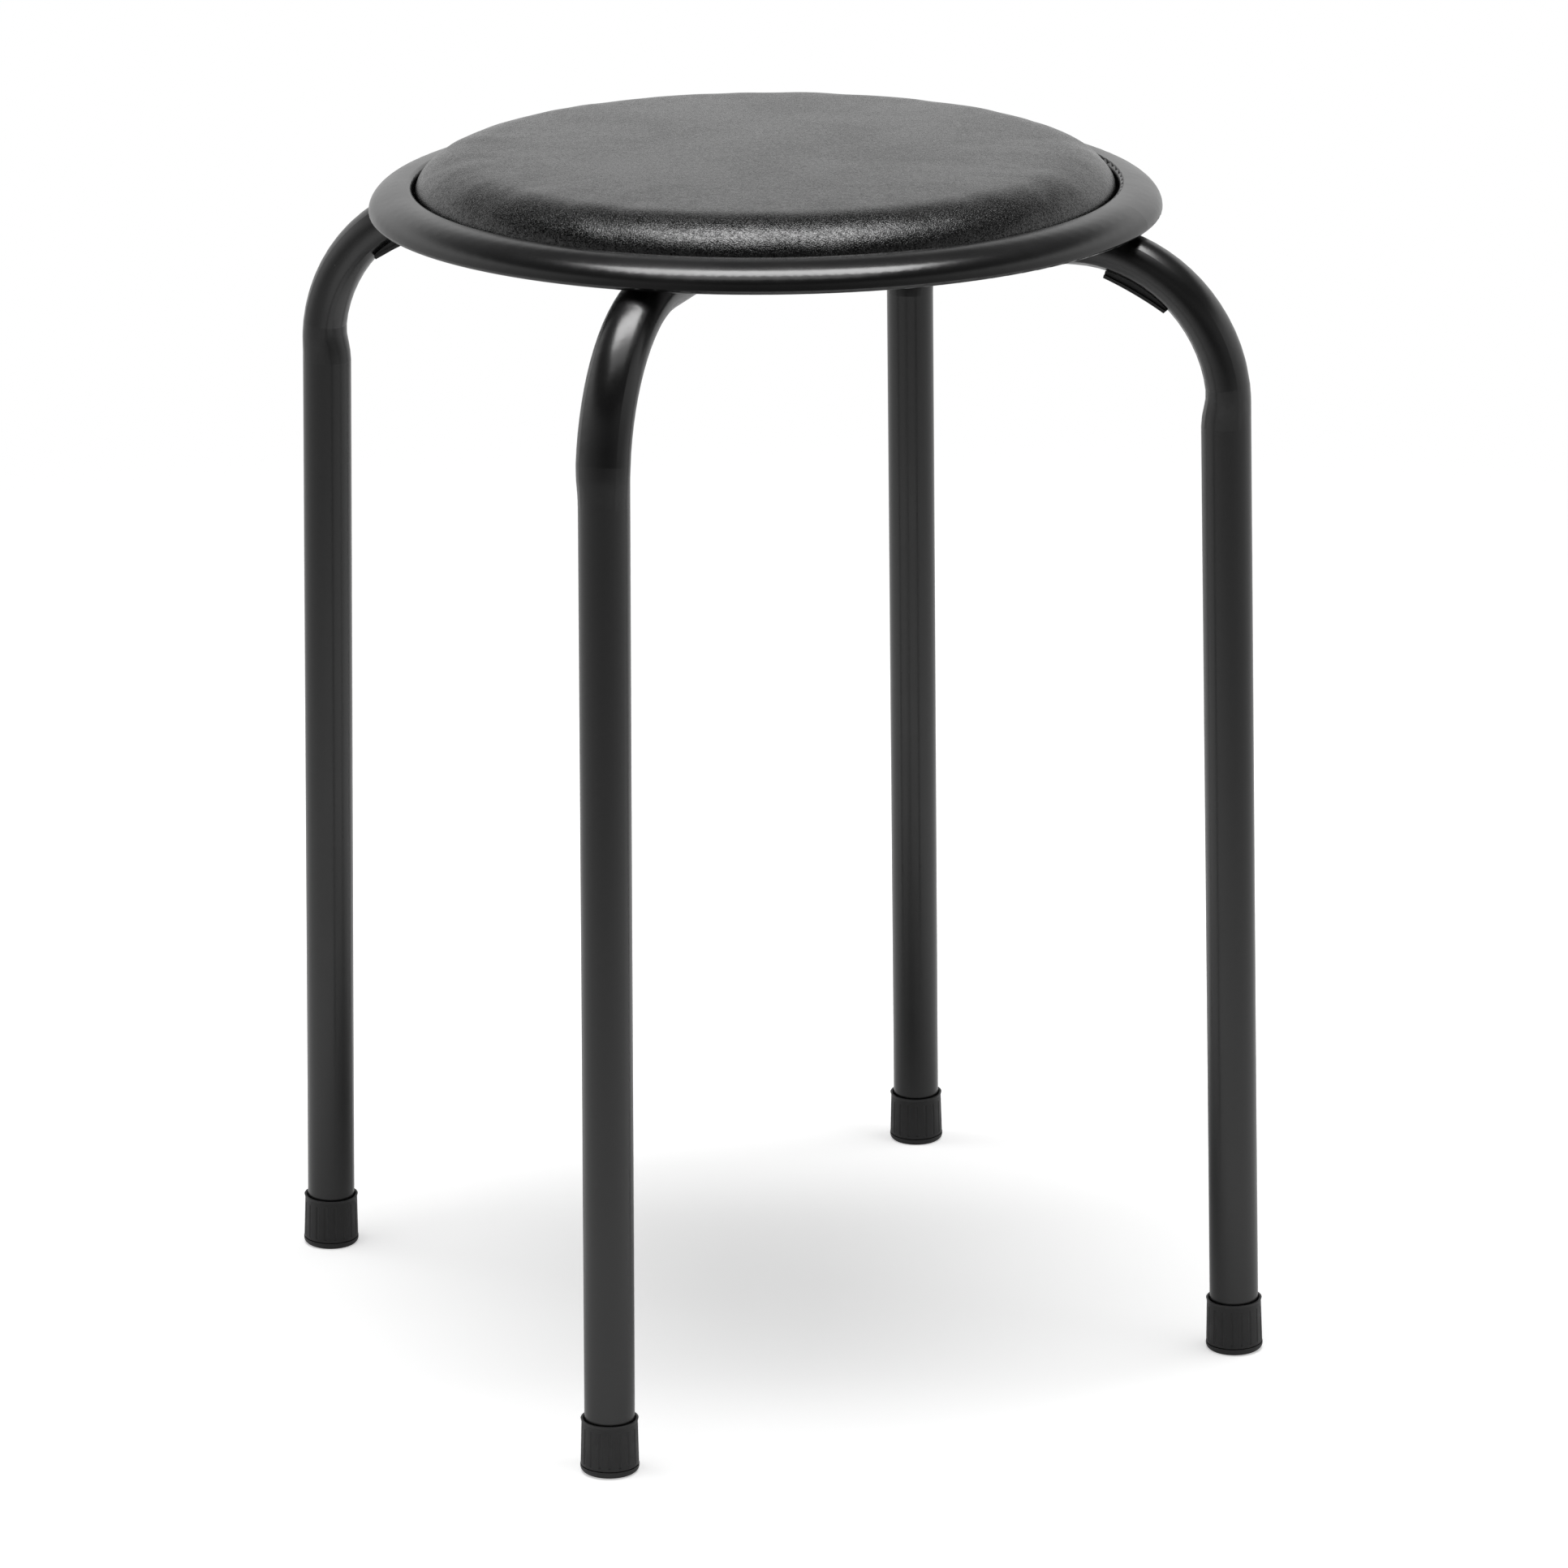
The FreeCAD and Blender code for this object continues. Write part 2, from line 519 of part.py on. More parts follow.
def foot():
    """A ribbed plastic foot pushed on the end of the leg, worn flat where it stands."""
    wall_low = FOOT_SOLE_BAND + FOOT_GROOVE
    groove_radius = FOOT_LOW_RADIUS - FOOT_GROOVE
    sole_radius = FOOT_LOW_RADIUS + FOOT_SOLE_BULGE
    sole_centre = (sole_radius - FOOT_SOLE_ROUND, FOOT_SOLE_ROUND)
    lip_low = FOOT_HEIGHT - FOOT_MOUTH_LIP
    profile = Outline(0, 0)
    profile.arc(sole_centre, FOOT_SOLE_ROUND, FOOT_SOLE_ROUND, -90, 0)
    profile.line(sole_radius, FOOT_SOLE_BAND)
    profile.line(groove_radius, FOOT_SOLE_BAND)
    profile.line(FOOT_LOW_RADIUS, wall_low)
    profile.line(FOOT_TOP_RADIUS, lip_low)
    profile.line(FOOT_TOP_RADIUS + FOOT_MOUTH_PROUD, FOOT_HEIGHT)
    profile.line(FOOT_BORE_RADIUS + FOOT_MOUTH_OPENING, FOOT_HEIGHT)
    profile.line(FOOT_BORE_RADIUS, lip_low)
    profile.line(FOOT_BORE_RADIUS, FOOT_SOLE_THICKNESS)
    profile.line(0, FOOT_SOLE_THICKNESS)
    body = profile.revolve().cut(Part.makeCompound(foot_flutes(wall_low, lip_low)))
    body.translate(Z_AXIS * -(sole_centre[0] * math.tan(abs(SPLAY))))
    body.rotate(ORIGIN, Y_AXIS, -LEG_SPLAY_DEG)
    body.translate(X_AXIS * FOOT_CIRCLE_RADIUS)
    below_floor = Part.makeBox(
        4 * FOOT_LOW_RADIUS,
        4 * FOOT_LOW_RADIUS,
        2 * FOOT_SOLE_ROUND,
        Vector(FOOT_CIRCLE_RADIUS - 2 * FOOT_LOW_RADIUS, -2 * FOOT_LOW_RADIUS, -2 * FOOT_SOLE_ROUND),
    )
    return body.cut(below_floor)


def foot_flutes(wall_low, lip_low):
    """Shallow grooves down the foot's tapered wall, each with a round end at the sole."""
    low = wall_low + FOOT_FLUTE_MARGIN
    high = lip_low - FOOT_FLUTE_MARGIN
    taper = FOOT_FLARE / (lip_low - wall_low)
    outset = FOOT_FLUTE_RADIUS - FOOT_FLUTE_DEPTH
    low_point = Vector(FOOT_LOW_RADIUS - (low - wall_low) * taper + outset, 0, low)
    high_point = Vector(FOOT_TOP_RADIUS + (lip_low - high) * taper + outset, 0, high)
    along = high_point - low_point
    groove = Part.makeCylinder(FOOT_FLUTE_RADIUS, along.Length, low_point, along)
    groove = groove.fuse(Part.makeSphere(FOOT_FLUTE_RADIUS, low_point))
    flutes = []
    for index in range(FOOT_FLUTE_COUNT):
        copy = groove.copy()
        copy.rotate(ORIGIN, Z_AXIS, index * 360 / FOOT_FLUTE_COUNT)
        flutes.append(copy)
    return flutes


def build():
    """Every piece of the stool, by the name of its node."""
    staples = cover_staples()
    pieces = {
        "leg_frame_side": leg_frame(True),
        "leg_frame_front": turned(leg_frame(False), "back"),
        "seat_pan": seat_pan(),
        "cushion_board": cushion_board(staples),
        "cushion_foam": cushion_foam(),
        "cushion_cover": cushion_cover(staples),
        "cover_staples": staples,
        "seat_screw_centre": seat_screw(0, CROSSING_UNDERSIDE),
        "board_nut_centre": board_nut(0),
    }
    at_each_leg = {
        "foot": foot(),
        "stacking_pad": stacking_pad(),
        "seat_screw": seat_screw(SCREW_CIRCLE_RADIUS, RUN_UNDERSIDE),
        "board_nut": board_nut(SCREW_CIRCLE_RADIUS),
    }
    for side in LEG_SIDES:
        for name, shape in at_each_leg.items():
            pieces[name + "_" + side] = turned(shape, side)
    return pieces


os.makedirs("parts", exist_ok=True)
for node, shape in build().items():
    shape.exportStep(os.path.join("parts", node + ".step"))
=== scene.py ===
# %% [markdown]
# # A padded stacking stool
# The stool has two bent tube frames that cross under a pressed steel pan, four ribbed
# plastic feet, four small pads that other stools rest on, and a round vinyl cushion.
# All the hard pieces come in already modelled, so the first step only loads them.
# The work here is their finishes, the soft cushion, the studio and the camera.

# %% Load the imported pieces
import math

import bmesh
import bpy
from mathutils import Matrix, Vector, noise


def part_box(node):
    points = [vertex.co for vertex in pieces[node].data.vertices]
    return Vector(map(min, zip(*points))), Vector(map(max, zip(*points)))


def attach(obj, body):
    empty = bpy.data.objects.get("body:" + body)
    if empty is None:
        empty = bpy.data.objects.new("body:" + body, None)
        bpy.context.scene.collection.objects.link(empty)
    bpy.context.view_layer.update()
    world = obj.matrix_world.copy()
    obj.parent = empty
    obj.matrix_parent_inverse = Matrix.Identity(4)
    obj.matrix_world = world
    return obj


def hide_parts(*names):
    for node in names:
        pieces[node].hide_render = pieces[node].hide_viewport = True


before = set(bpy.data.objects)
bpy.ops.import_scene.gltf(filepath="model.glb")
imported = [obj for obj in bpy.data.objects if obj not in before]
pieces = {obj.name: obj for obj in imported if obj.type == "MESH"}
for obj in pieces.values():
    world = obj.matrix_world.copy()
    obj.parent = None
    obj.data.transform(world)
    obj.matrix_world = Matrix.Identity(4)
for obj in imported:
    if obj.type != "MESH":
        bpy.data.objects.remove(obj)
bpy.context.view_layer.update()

BODY = "root"
MM = 0.001

# %% [markdown]
# ## The camera
# A product photograph like this is taken from far away with a long lens, so that the
# legs stay nearly parallel. The camera stands to the right of the front leg and looks
# down a little. It is written as a place, a direction and a small roll, because those
# are the three things that a photographer sets on a tripod.

# %% Stand the camera on its tripod
CAMERA_PLACE = Vector((0.81053, -2.377895, 0.980943))
CAMERA_TURN = 0.326246
CAMERA_DIP = 0.296463
CAMERA_ROLL = -0.006157
LENS_MM = 153.565
SENSOR_MM = 36.0
SIGHT_LIMIT = 100

lens = bpy.data.cameras.new("long_lens")
lens.lens = LENS_MM
lens.sensor_width = SENSOR_MM
lens.clip_end = SIGHT_LIMIT
camera = bpy.data.objects.new("camera", lens)
bpy.context.scene.collection.objects.link(camera)
turn = Matrix.Rotation(CAMERA_TURN, 4, "Z")
dip = Matrix.Rotation(math.pi / 2 - CAMERA_DIP, 4, "X")
roll = Matrix.Rotation(CAMERA_ROLL, 4, "Z")
camera.matrix_world = Matrix.Translation(CAMERA_PLACE) @ turn @ dip @ roll
bpy.context.scene.camera = camera
print("camera stands", round(CAMERA_PLACE.length, 3), "m from the stool's foot point")

# %% [markdown]
# ## Working with node trees
# The studio and every finish are node trees. They could be wired line by line, but
# the same few moves come back all the time: add a node, give a socket a number or a
# wire, reckon with two values, and step smoothly from one value to another. As small
# helpers they keep the recipes short enough to read.

# %% Helpers for node trees
def place(tree, kind, **values):
    """Add a node; names that match its inputs fill them, the others are settings."""
    node = tree.nodes.new(kind)
    for name, value in values.items():
        socket = node.inputs.get(name.replace("_", " "))
        if socket is not None and not hasattr(node, name):
            socket.default_value = value
        else:
            setattr(node, name, value)
    return node


def wire(tree, source, target):
    tree.links.new(source, target)


def feed(tree, value, socket):
    """Set a socket to a number, or wire another node's output to it."""
    if isinstance(value, (int, float)):
        socket.default_value = value
    else:
        wire(tree, value, socket)


def reckon(tree, operation, *values):
    """One sum on sockets or numbers."""
    node = place(tree, "ShaderNodeMath", operation=operation)
    for socket, value in zip(node.inputs, values):
        feed(tree, value, socket)
    return node.outputs[0]


def ramp(tree, source, low, high, to_low=0.0, to_high=1.0, kind="SMOOTHSTEP"):
    """Step a value from one range to another, smoothly unless the kind is LINEAR."""
    step = place(tree, "ShaderNodeMapRange", interpolation_type=kind)
    ends = {"From Min": low, "From Max": high, "To Min": to_low, "To Max": to_high}
    for label, value in {"Value": source, **ends}.items():
        feed(tree, value, step.inputs[label])
    return step.outputs["Result"]


def mix_numbers(tree, share, first, second):
    """The first number or the second, or a mix where the share is between."""
    node = place(tree, "ShaderNodeMix", data_type="FLOAT")
    for label, value in {"Factor": share, "A": first, "B": second}.items():
        feed(tree, value, node.inputs[label])
    return node.outputs["Result"]


print("node tree helpers ready")

# %% [markdown]
# ## The studio
# A black object shows its shape by what it mirrors. The photograph tells what was
# there: a white floor, a white background that ends at about thirty degrees, a dim
# room above it, and a dark side behind the camera, over a floor that is still bright.
# The background could be a big curved sheet, but a world shader is cheaper. It is
# white to the camera. To a mirror ray it is white too where that runs away from the
# camera, though a little dimmer near the horizon, and dim where the ray runs high or
# towards the camera. To everything else it is an even dark grey.

# %% Find where a ray runs
world = bpy.data.worlds.new("studio")
bpy.context.scene.world = world
world.use_nodes = True
tree = world.node_tree
tree.nodes.clear()

direction = place(tree, "ShaderNodeTexCoord").outputs["Generated"]
split = place(tree, "ShaderNodeSeparateXYZ")
wire(tree, direction, split.inputs[0])
up = split.outputs["Z"]
to_camera = place(tree, "ShaderNodeVectorMath", operation="DOT_PRODUCT")
wire(tree, direction, to_camera.inputs[0])
to_camera.inputs[1].default_value = (math.sin(CAMERA_TURN), -math.cos(CAMERA_TURN), 0)
rays = place(tree, "ShaderNodeLightPath")
print("world nodes for the ray:", len(tree.nodes))

# %% Light the world
BACKDROP_FADE_START = 0.40
BACKDROP_FADE_END = 0.62
HORIZON = 0.76
HORIZON_END = 0.34
DIM_ROOM = 0.12
CAMERA_SIDE = 0.12
CAMERA_SIDE_FLOOR = 0.60
FLOOR_LINE_START = -0.22
FLOOR_LINE_END = 0.02
SIDE_START = -0.2
EVEN_FILL = 0.14
WHITE = 1.0

near_horizon = ramp(tree, up, 0.0, HORIZON_END, HORIZON, WHITE)
backdrop = ramp(tree, up, BACKDROP_FADE_START, BACKDROP_FADE_END, near_horizon, DIM_ROOM)
behind = ramp(tree, up, FLOOR_LINE_START, FLOOR_LINE_END, CAMERA_SIDE_FLOOR, CAMERA_SIDE)
side = ramp(tree, to_camera.outputs["Value"], SIDE_START, 1.0, WHITE, behind, kind="LINEAR")
room = reckon(tree, "MULTIPLY", backdrop, side)
glossy = rays.outputs["Is Glossy Ray"]
mirror_rays = reckon(tree, "MAXIMUM", glossy, rays.outputs["Is Transmission Ray"])
seen = mix_numbers(tree, mirror_rays, EVEN_FILL, room)
strength = mix_numbers(tree, rays.outputs["Is Camera Ray"], seen, WHITE)
background = place(tree, "ShaderNodeBackground", Color=(1, 1, 1, 1))
wire(tree, strength, background.inputs["Strength"])
out = place(tree, "ShaderNodeOutputWorld")
wire(tree, background.outputs[0], out.inputs["Surface"])
print("world nodes:", len(tree.nodes))

# %% [markdown]
# A soft box hangs straight over the seat. Seen from there it reaches about twelve
# degrees to the front and back and twice as far to the sides, and draws the bright
# band along the front of the cushion. A dimmer panel beside it reaches on towards the
# camera. It is what makes the glow on each bend fade out slowly on its lower side.

# %% Hang the soft box and its front panel
BOX_HEIGHT = 2.4
BOX_WIDTH = 1.75
BOX_DEPTH = 0.82
BOX_RADIANCE = 11.0
PANEL_DEPTH = 0.78
PANEL_RADIANCE = 1.6


def hang_light(name, depth, towards_camera, radiance):
    """A flat rectangular light that faces down, with the same radiance all over."""
    light = bpy.data.lights.new(name, "AREA")
    light.shape = "RECTANGLE"
    light.size = BOX_WIDTH
    light.size_y = depth
    light.energy = radiance * math.pi * BOX_WIDTH * depth
    hung = bpy.data.objects.new(name, light)
    bpy.context.scene.collection.objects.link(hung)
    aside = Matrix.Translation((0, -towards_camera, 0))
    hung.matrix_world = Matrix.Translation((0, 0, BOX_HEIGHT)) @ turn @ aside
    print(name, "watts:", round(light.energy, 1))


hang_light("soft_box", BOX_DEPTH, 0.0, BOX_RADIANCE)
hang_light("front_panel", PANEL_DEPTH, (BOX_DEPTH + PANEL_DEPTH) / 2, PANEL_RADIANCE)

# %% [markdown]
# ## The floor
# A plain white floor could simply be lit until it clips, but then the stool would be
# overlit as well. So it is painted a pale grey that keeps the soft shadow, and light
# of its own is added only for the rays that look at it, less for those that come off
# the stool. Further out it fades into the white world, as paper does where it runs
# out of the light. Seen from below it is clear, so that the underside can be looked at.

# %% Lay the floor
FLOOR_RADIUS = 1.6
FLOOR_CORNERS = 96

floor_mesh = bpy.data.meshes.new("studio_floor")
disc = bmesh.new()
bmesh.ops.create_circle(disc, cap_ends=True, radius=FLOOR_RADIUS, segments=FLOOR_CORNERS)
disc.to_mesh(floor_mesh)
disc.free()
floor = bpy.data.objects.new("studio_floor", floor_mesh)
bpy.context.scene.collection.objects.link(floor)
print("floor radius:", FLOOR_RADIUS)

# %% Paint the floor
FLOOR_FADE_START = 0.55
FLOOR_FADE_END = 1.5
FLOOR_PALE = 0.86
FLOOR_LIFT = 0.50
MIRRORED_LIFT = 0.12

paint = bpy.data.materials.new("floor_paint")
paint.use_nodes = True
tree = paint.node_tree
tree.nodes.clear()
pale = place(tree, "ShaderNodeBsdfDiffuse", Color=(FLOOR_PALE, FLOOR_PALE, FLOOR_PALE, 1))
rays = place(tree, "ShaderNodeLightPath")
mirrored = reckon(tree, "MULTIPLY", rays.outputs["Is Glossy Ray"], MIRRORED_LIFT)
lift = reckon(tree, "MULTIPLY_ADD", rays.outputs["Is Camera Ray"], FLOOR_LIFT, mirrored)
glow = place(tree, "ShaderNodeEmission")
wire(tree, lift, glow.inputs["Strength"])
both = place(tree, "ShaderNodeAddShader")
wire(tree, pale.outputs[0], both.inputs[0])
wire(tree, glow.outputs[0], both.inputs[1])
away = place(tree, "ShaderNodeVectorMath", operation="LENGTH")
wire(tree, place(tree, "ShaderNodeTexCoord").outputs["Object"], away.inputs[0])
gone = ramp(tree, away.outputs["Value"], FLOOR_FADE_START, FLOOR_FADE_END)
surface = place(tree, "ShaderNodeNewGeometry")
clear = reckon(tree, "MAXIMUM", gone, surface.outputs["Backfacing"])
nothing = place(tree, "ShaderNodeBsdfTransparent")
blended = place(tree, "ShaderNodeMixShader")
wire(tree, clear, blended.inputs["Fac"])
wire(tree, both.outputs[0], blended.inputs[1])
wire(tree, nothing.outputs[0], blended.inputs[2])
out = place(tree, "ShaderNodeOutputMaterial")
wire(tree, blended.outputs[0], out.inputs["Surface"])
floor_mesh.materials.append(paint)
bpy.context.scene.view_settings.view_transform = "Standard"
print("floor paint nodes:", len(tree.nodes))

# %% [markdown]
# ## Effects that several finishes share
# Grain, orange peel, mottling, specks and rubbed edges turn up in more than one
# finish. Each is a node group with named inputs and outputs, made once, so that every
# finish can place it with its own values. A group only puts out masks and heights.
# The shader itself stays in the material.

# %% Start a group with its sockets
VALUE = "NodeSocketFloat"


def new_effect(name, inputs, outputs):
    """An empty node group with number inputs and outputs; gives tree, start and end."""
    group = bpy.data.node_groups.new(name, "ShaderNodeTree")
    for label, value in inputs.items():
        socket = group.interface.new_socket(name=label, in_out="INPUT", socket_type=VALUE)
        socket.default_value = value
    for label in outputs:
        group.interface.new_socket(name=label, in_out="OUTPUT", socket_type=VALUE)
    return group, group.nodes.new("NodeGroupInput"), group.nodes.new("NodeGroupOutput")


def scale_for(tree, size_socket):
    """The texture scale for a detail of the given size in millimetres."""
    return reckon(tree, "DIVIDE", 1 / MM, size_socket)


print("effect helpers ready")

# %% [markdown]
# ### Pebble grain
# Embossed vinyl has small uneven pebbles with thin valleys between them. A noise
# texture looks like clouds, not pebbles. A Voronoi texture makes cells, and bending
# its coordinates with a little noise first makes the cells irregular, as embossing
# rolls cut from real hide do.

# %% Make the pebble grain
PEBBLE_BLEND = 0.6
PEBBLE_SIDES = (0.05, 0.62)
VALLEY_SIDES = (0.42, 0.66)


def make_pebble_grain():
    group, start, end = new_effect(
        "pebble_grain", {"Pebble Size": 1.0, "Unevenness": 0.35}, ("Height", "Valley")
    )
    place_in = place(group, "ShaderNodeTexCoord")
    scale = scale_for(group, start.outputs["Pebble Size"])
    drift = place(group, "ShaderNodeTexNoise", Detail=2.0)
    wire(group, place_in.outputs["Object"], drift.inputs["Vector"])
    wire(group, scale, drift.inputs["Scale"])
    shift = place(group, "ShaderNodeVectorMath", operation="MULTIPLY_ADD")
    bend = reckon(group, "MULTIPLY", start.outputs["Unevenness"], start.outputs["Pebble Size"])
    bend = reckon(group, "MULTIPLY", bend, MM)
    wire(group, drift.outputs["Color"], shift.inputs[0])
    wire(group, bend, shift.inputs[1])
    wire(group, place_in.outputs["Object"], shift.inputs[2])
    cells = place(group, "ShaderNodeTexVoronoi", feature="SMOOTH_F1", Smoothness=PEBBLE_BLEND)
    wire(group, shift.outputs[0], cells.inputs["Vector"])
    wire(group, scale, cells.inputs["Scale"])
    height = ramp(group, cells.outputs["Distance"], *PEBBLE_SIDES, 1.0, 0.0)
    valley = ramp(group, cells.outputs["Distance"], *VALLEY_SIDES)
    wire(group, height, end.inputs["Height"])
    wire(group, valley, end.inputs["Valley"])
    return group


pebble_grain = make_pebble_grain()
print("made", pebble_grain.name)

# %% [markdown]
# ### Orange peel
# Powder paint melts into a skin that is never quite flat: it has low swells a few
# millimetres long and a much finer tooth on top. Two noise textures of different size
# give both, and the finer one is also what turns gloss into satin.

# %% Make the orange peel
def make_orange_peel():
    group, start, end = new_effect(
        "orange_peel",
        {"Swell Size": 3.0, "Tooth Size": 0.35, "Tooth Share": 0.2},
        ("Height",),
    )
    place_in = place(group, "ShaderNodeTexCoord")
    layers = []
    for label in ("Swell Size", "Tooth Size"):
        layer = place(group, "ShaderNodeTexNoise", Detail=2.0)
        wire(group, place_in.outputs["Object"], layer.inputs["Vector"])
        wire(group, scale_for(group, start.outputs[label]), layer.inputs["Scale"])
        layers.append(layer.outputs["Fac"])
    tooth = reckon(group, "MULTIPLY", layers[1], start.outputs["Tooth Share"])
    wire(group, reckon(group, "ADD", layers[0], tooth), end.inputs["Height"])
    return group


orange_peel = make_orange_peel()
print("made", orange_peel.name)

# %% [markdown]
# ### Mottling
# No large surface is equally shiny all over. Handling, polish and the rollers of the
# vinyl mill leave broad soft patches. One noise could make them, but real patches have
# flecks in them, so a broad noise and a fine one are added. The value between nought
# and one moves the colour and the roughness of a finish.

# %% Make the mottling
PATCH_ROUGHNESS = 0.6
FLECK_ROUGHNESS = 0.65
MOTTLED_RANGE = (0.36, 0.64)


def make_mottling():
    group, start, end = new_effect(
        "mottling",
        {"Patch Size": 40.0, "Fleck Size": 2.5, "Fleck Share": 0.5},
        ("Patches",),
    )
    place_in = place(group, "ShaderNodeTexCoord")
    patches = place(group, "ShaderNodeTexNoise", Detail=3.0, Roughness=PATCH_ROUGHNESS)
    wire(group, place_in.outputs["Object"], patches.inputs["Vector"])
    wire(group, scale_for(group, start.outputs["Patch Size"]), patches.inputs["Scale"])
    flecks = place(group, "ShaderNodeTexNoise", Detail=4.0, Roughness=FLECK_ROUGHNESS)
    wire(group, place_in.outputs["Object"], flecks.inputs["Vector"])
    wire(group, scale_for(group, start.outputs["Fleck Size"]), flecks.inputs["Scale"])
    fleck = reckon(group, "MULTIPLY", flecks.outputs["Fac"], start.outputs["Fleck Share"])
    total = reckon(group, "ADD", patches.outputs["Fac"], fleck)
    share = reckon(group, "ADD", start.outputs["Fleck Share"], 1.0)
    mean = reckon(group, "DIVIDE", total, share)
    wire(group, ramp(group, mean, *MOTTLED_RANGE), end.inputs["Patches"])
    return group


mottling = make_mottling()
print("made", mottling.name)

# %% [markdown]
# ### Specks
# Dust falls on powder paint before it is baked, and on plastic after it is moulded.
# In a close photograph it shows as a few tiny pale points. A Voronoi texture with
# wide cells has one point in each, and its random colour says which cells keep theirs.
# Loose points could be real geometry instead, but dust has no shape to see.

# %% Make the specks
def make_specks():
    group, start, end = new_effect(
        "specks",
        {"Spacing": 14.0, "Speck Size": 0.22, "Share": 0.25},
        ("Mask",),
    )
    place_in = place(group, "ShaderNodeTexCoord")
    cells = place(group, "ShaderNodeTexVoronoi", feature="F1")
    wire(group, place_in.outputs["Object"], cells.inputs["Vector"])
    wire(group, scale_for(group, start.outputs["Spacing"]), cells.inputs["Scale"])
    away = reckon(group, "MULTIPLY", cells.outputs["Distance"], start.outputs["Spacing"])
    near = reckon(group, "LESS_THAN", away, start.outputs["Speck Size"])
    pick = place(group, "ShaderNodeSeparateColor")
    wire(group, cells.outputs["Color"], pick.inputs[0])
    kept = reckon(group, "LESS_THAN", pick.outputs[0], start.outputs["Share"])
    wire(group, reckon(group, "MULTIPLY", near, kept), end.inputs["Mask"])
    return group


specks = make_specks()
print("made", specks.name)

# %% [markdown]
# ### Rubbed edges
# Where an edge is touched, its finish is polished first. The Bevel node gives the
# normal that a rounded edge would have; where that differs from the real normal there
# is an edge. Noise breaks the mask up, because wear is never an even line.

# %% Make the rubbed edges
EDGE_ALIKE = (0.80, 0.985)
WEAR_SCALE = 220.0
WEAR_RANGE = (0.40, 0.62)


def make_rubbed_edges():
    group, start, end = new_effect("rubbed_edges", {"Reach": 0.6, "Break Up": 0.5}, ("Mask",))
    reach = reckon(group, "MULTIPLY", start.outputs["Reach"], MM)
    rounded = place(group, "ShaderNodeBevel", samples=4)
    wire(group, reach, rounded.inputs["Radius"])
    surface = place(group, "ShaderNodeNewGeometry")
    alike = place(group, "ShaderNodeVectorMath", operation="DOT_PRODUCT")
    wire(group, rounded.outputs[0], alike.inputs[0])
    wire(group, surface.outputs["Normal"], alike.inputs[1])
    edge = ramp(group, alike.outputs["Value"], *EDGE_ALIKE, 1.0, 0.0)
    place_in = place(group, "ShaderNodeTexCoord")
    patches = place(group, "ShaderNodeTexNoise", Scale=WEAR_SCALE, Detail=3.0)
    wire(group, place_in.outputs["Object"], patches.inputs["Vector"])
    worn = ramp(group, patches.outputs["Fac"], *WEAR_RANGE)
    weight = reckon(group, "MULTIPLY", worn, start.outputs["Break Up"])
    keep = reckon(group, "SUBTRACT", 1.0, start.outputs["Break Up"])
    broken = reckon(group, "ADD", keep, weight)
    wire(group, reckon(group, "MULTIPLY", edge, broken), end.inputs["Mask"])
    return group


rubbed_edges = make_rubbed_edges()
print("made", rubbed_edges.name)

# %% [markdown]
# ## Starting a finish
# Every finish starts the same way: a Principled shader whose plain values are set on
# its own sockets, one colour that a mask mixes, one roughness that a mask moves, and a
# bump whose height is in real millimetres. Small helpers keep the recipes readable.

# %% Helpers for a finish
FIRST_COLOUR = 6
SECOND_COLOUR = 7
MIXED_COLOUR = 2


def new_finish(name, **plain):
    """A material with a Principled shader; gives the material, its tree and shader."""
    material = bpy.data.materials.new(name)
    material.use_nodes = True
    tree = material.node_tree
    shader = tree.nodes["Principled BSDF"]
    for label, value in plain.items():
        shader.inputs[label.replace("_", " ")].default_value = value
    return material, tree, shader


def use_effect(tree, group, **values):
    """Place a shared effect in a material with this finish's own values."""
    node = tree.nodes.new("ShaderNodeGroup")
    node.node_tree = group
    for label, value in values.items():
        node.inputs[label.replace("_", " ")].default_value = value
    return node


def mix_colour(tree, mask, first, second):
    """Mix two colours by a mask. The node's colour sockets are found by their number."""
    node = place(tree, "ShaderNodeMix", data_type="RGBA")
    wire(tree, mask, node.inputs["Factor"])
    for number, colour in ((FIRST_COLOUR, first), (SECOND_COLOUR, second)):
        if isinstance(colour, tuple):
            node.inputs[number].default_value = (*colour, 1)
        else:
            wire(tree, colour, node.inputs[number])
    return node.outputs[MIXED_COLOUR]


def bump(tree, height, depth_mm, shader, under=None):
    """Raise the surface by a height between nought and one, times a depth."""
    node = place(tree, "ShaderNodeBump", Distance=depth_mm * MM)
    wire(tree, height, node.inputs["Height"])
    if under is not None:
        wire(tree, under, node.inputs["Normal"])
    wire(tree, node.outputs[0], shader.inputs["Normal"])
    return node.outputs[0]


print("finish helpers ready")

# %% [markdown]
# ## Black powder paint
# The tubes and the pan are sprayed with black polyester powder and baked. The result
# is a satin black: nearly no colour of its own, and soft reflections of the white
# studio along the sides of each tube. The colour barely changes, so the life is in
# roughness, a very shallow orange peel, and a speck here and there.

# %% Mix the powder paint
POWDER_DEEP = (0.0042, 0.0042, 0.0043)
POWDER_PALE = (0.0058, 0.0058, 0.0059)
POWDER_RUBBED = (0.012, 0.012, 0.012)
POWDER_DUST = (0.16, 0.16, 0.155)
POWDER_SATIN = (0.22, 0.27)
POWDER_POLISHED_BY = 0.06
POWDER_SWELL_MM = 0.005
POWDER_SPECK_MM = 0.03


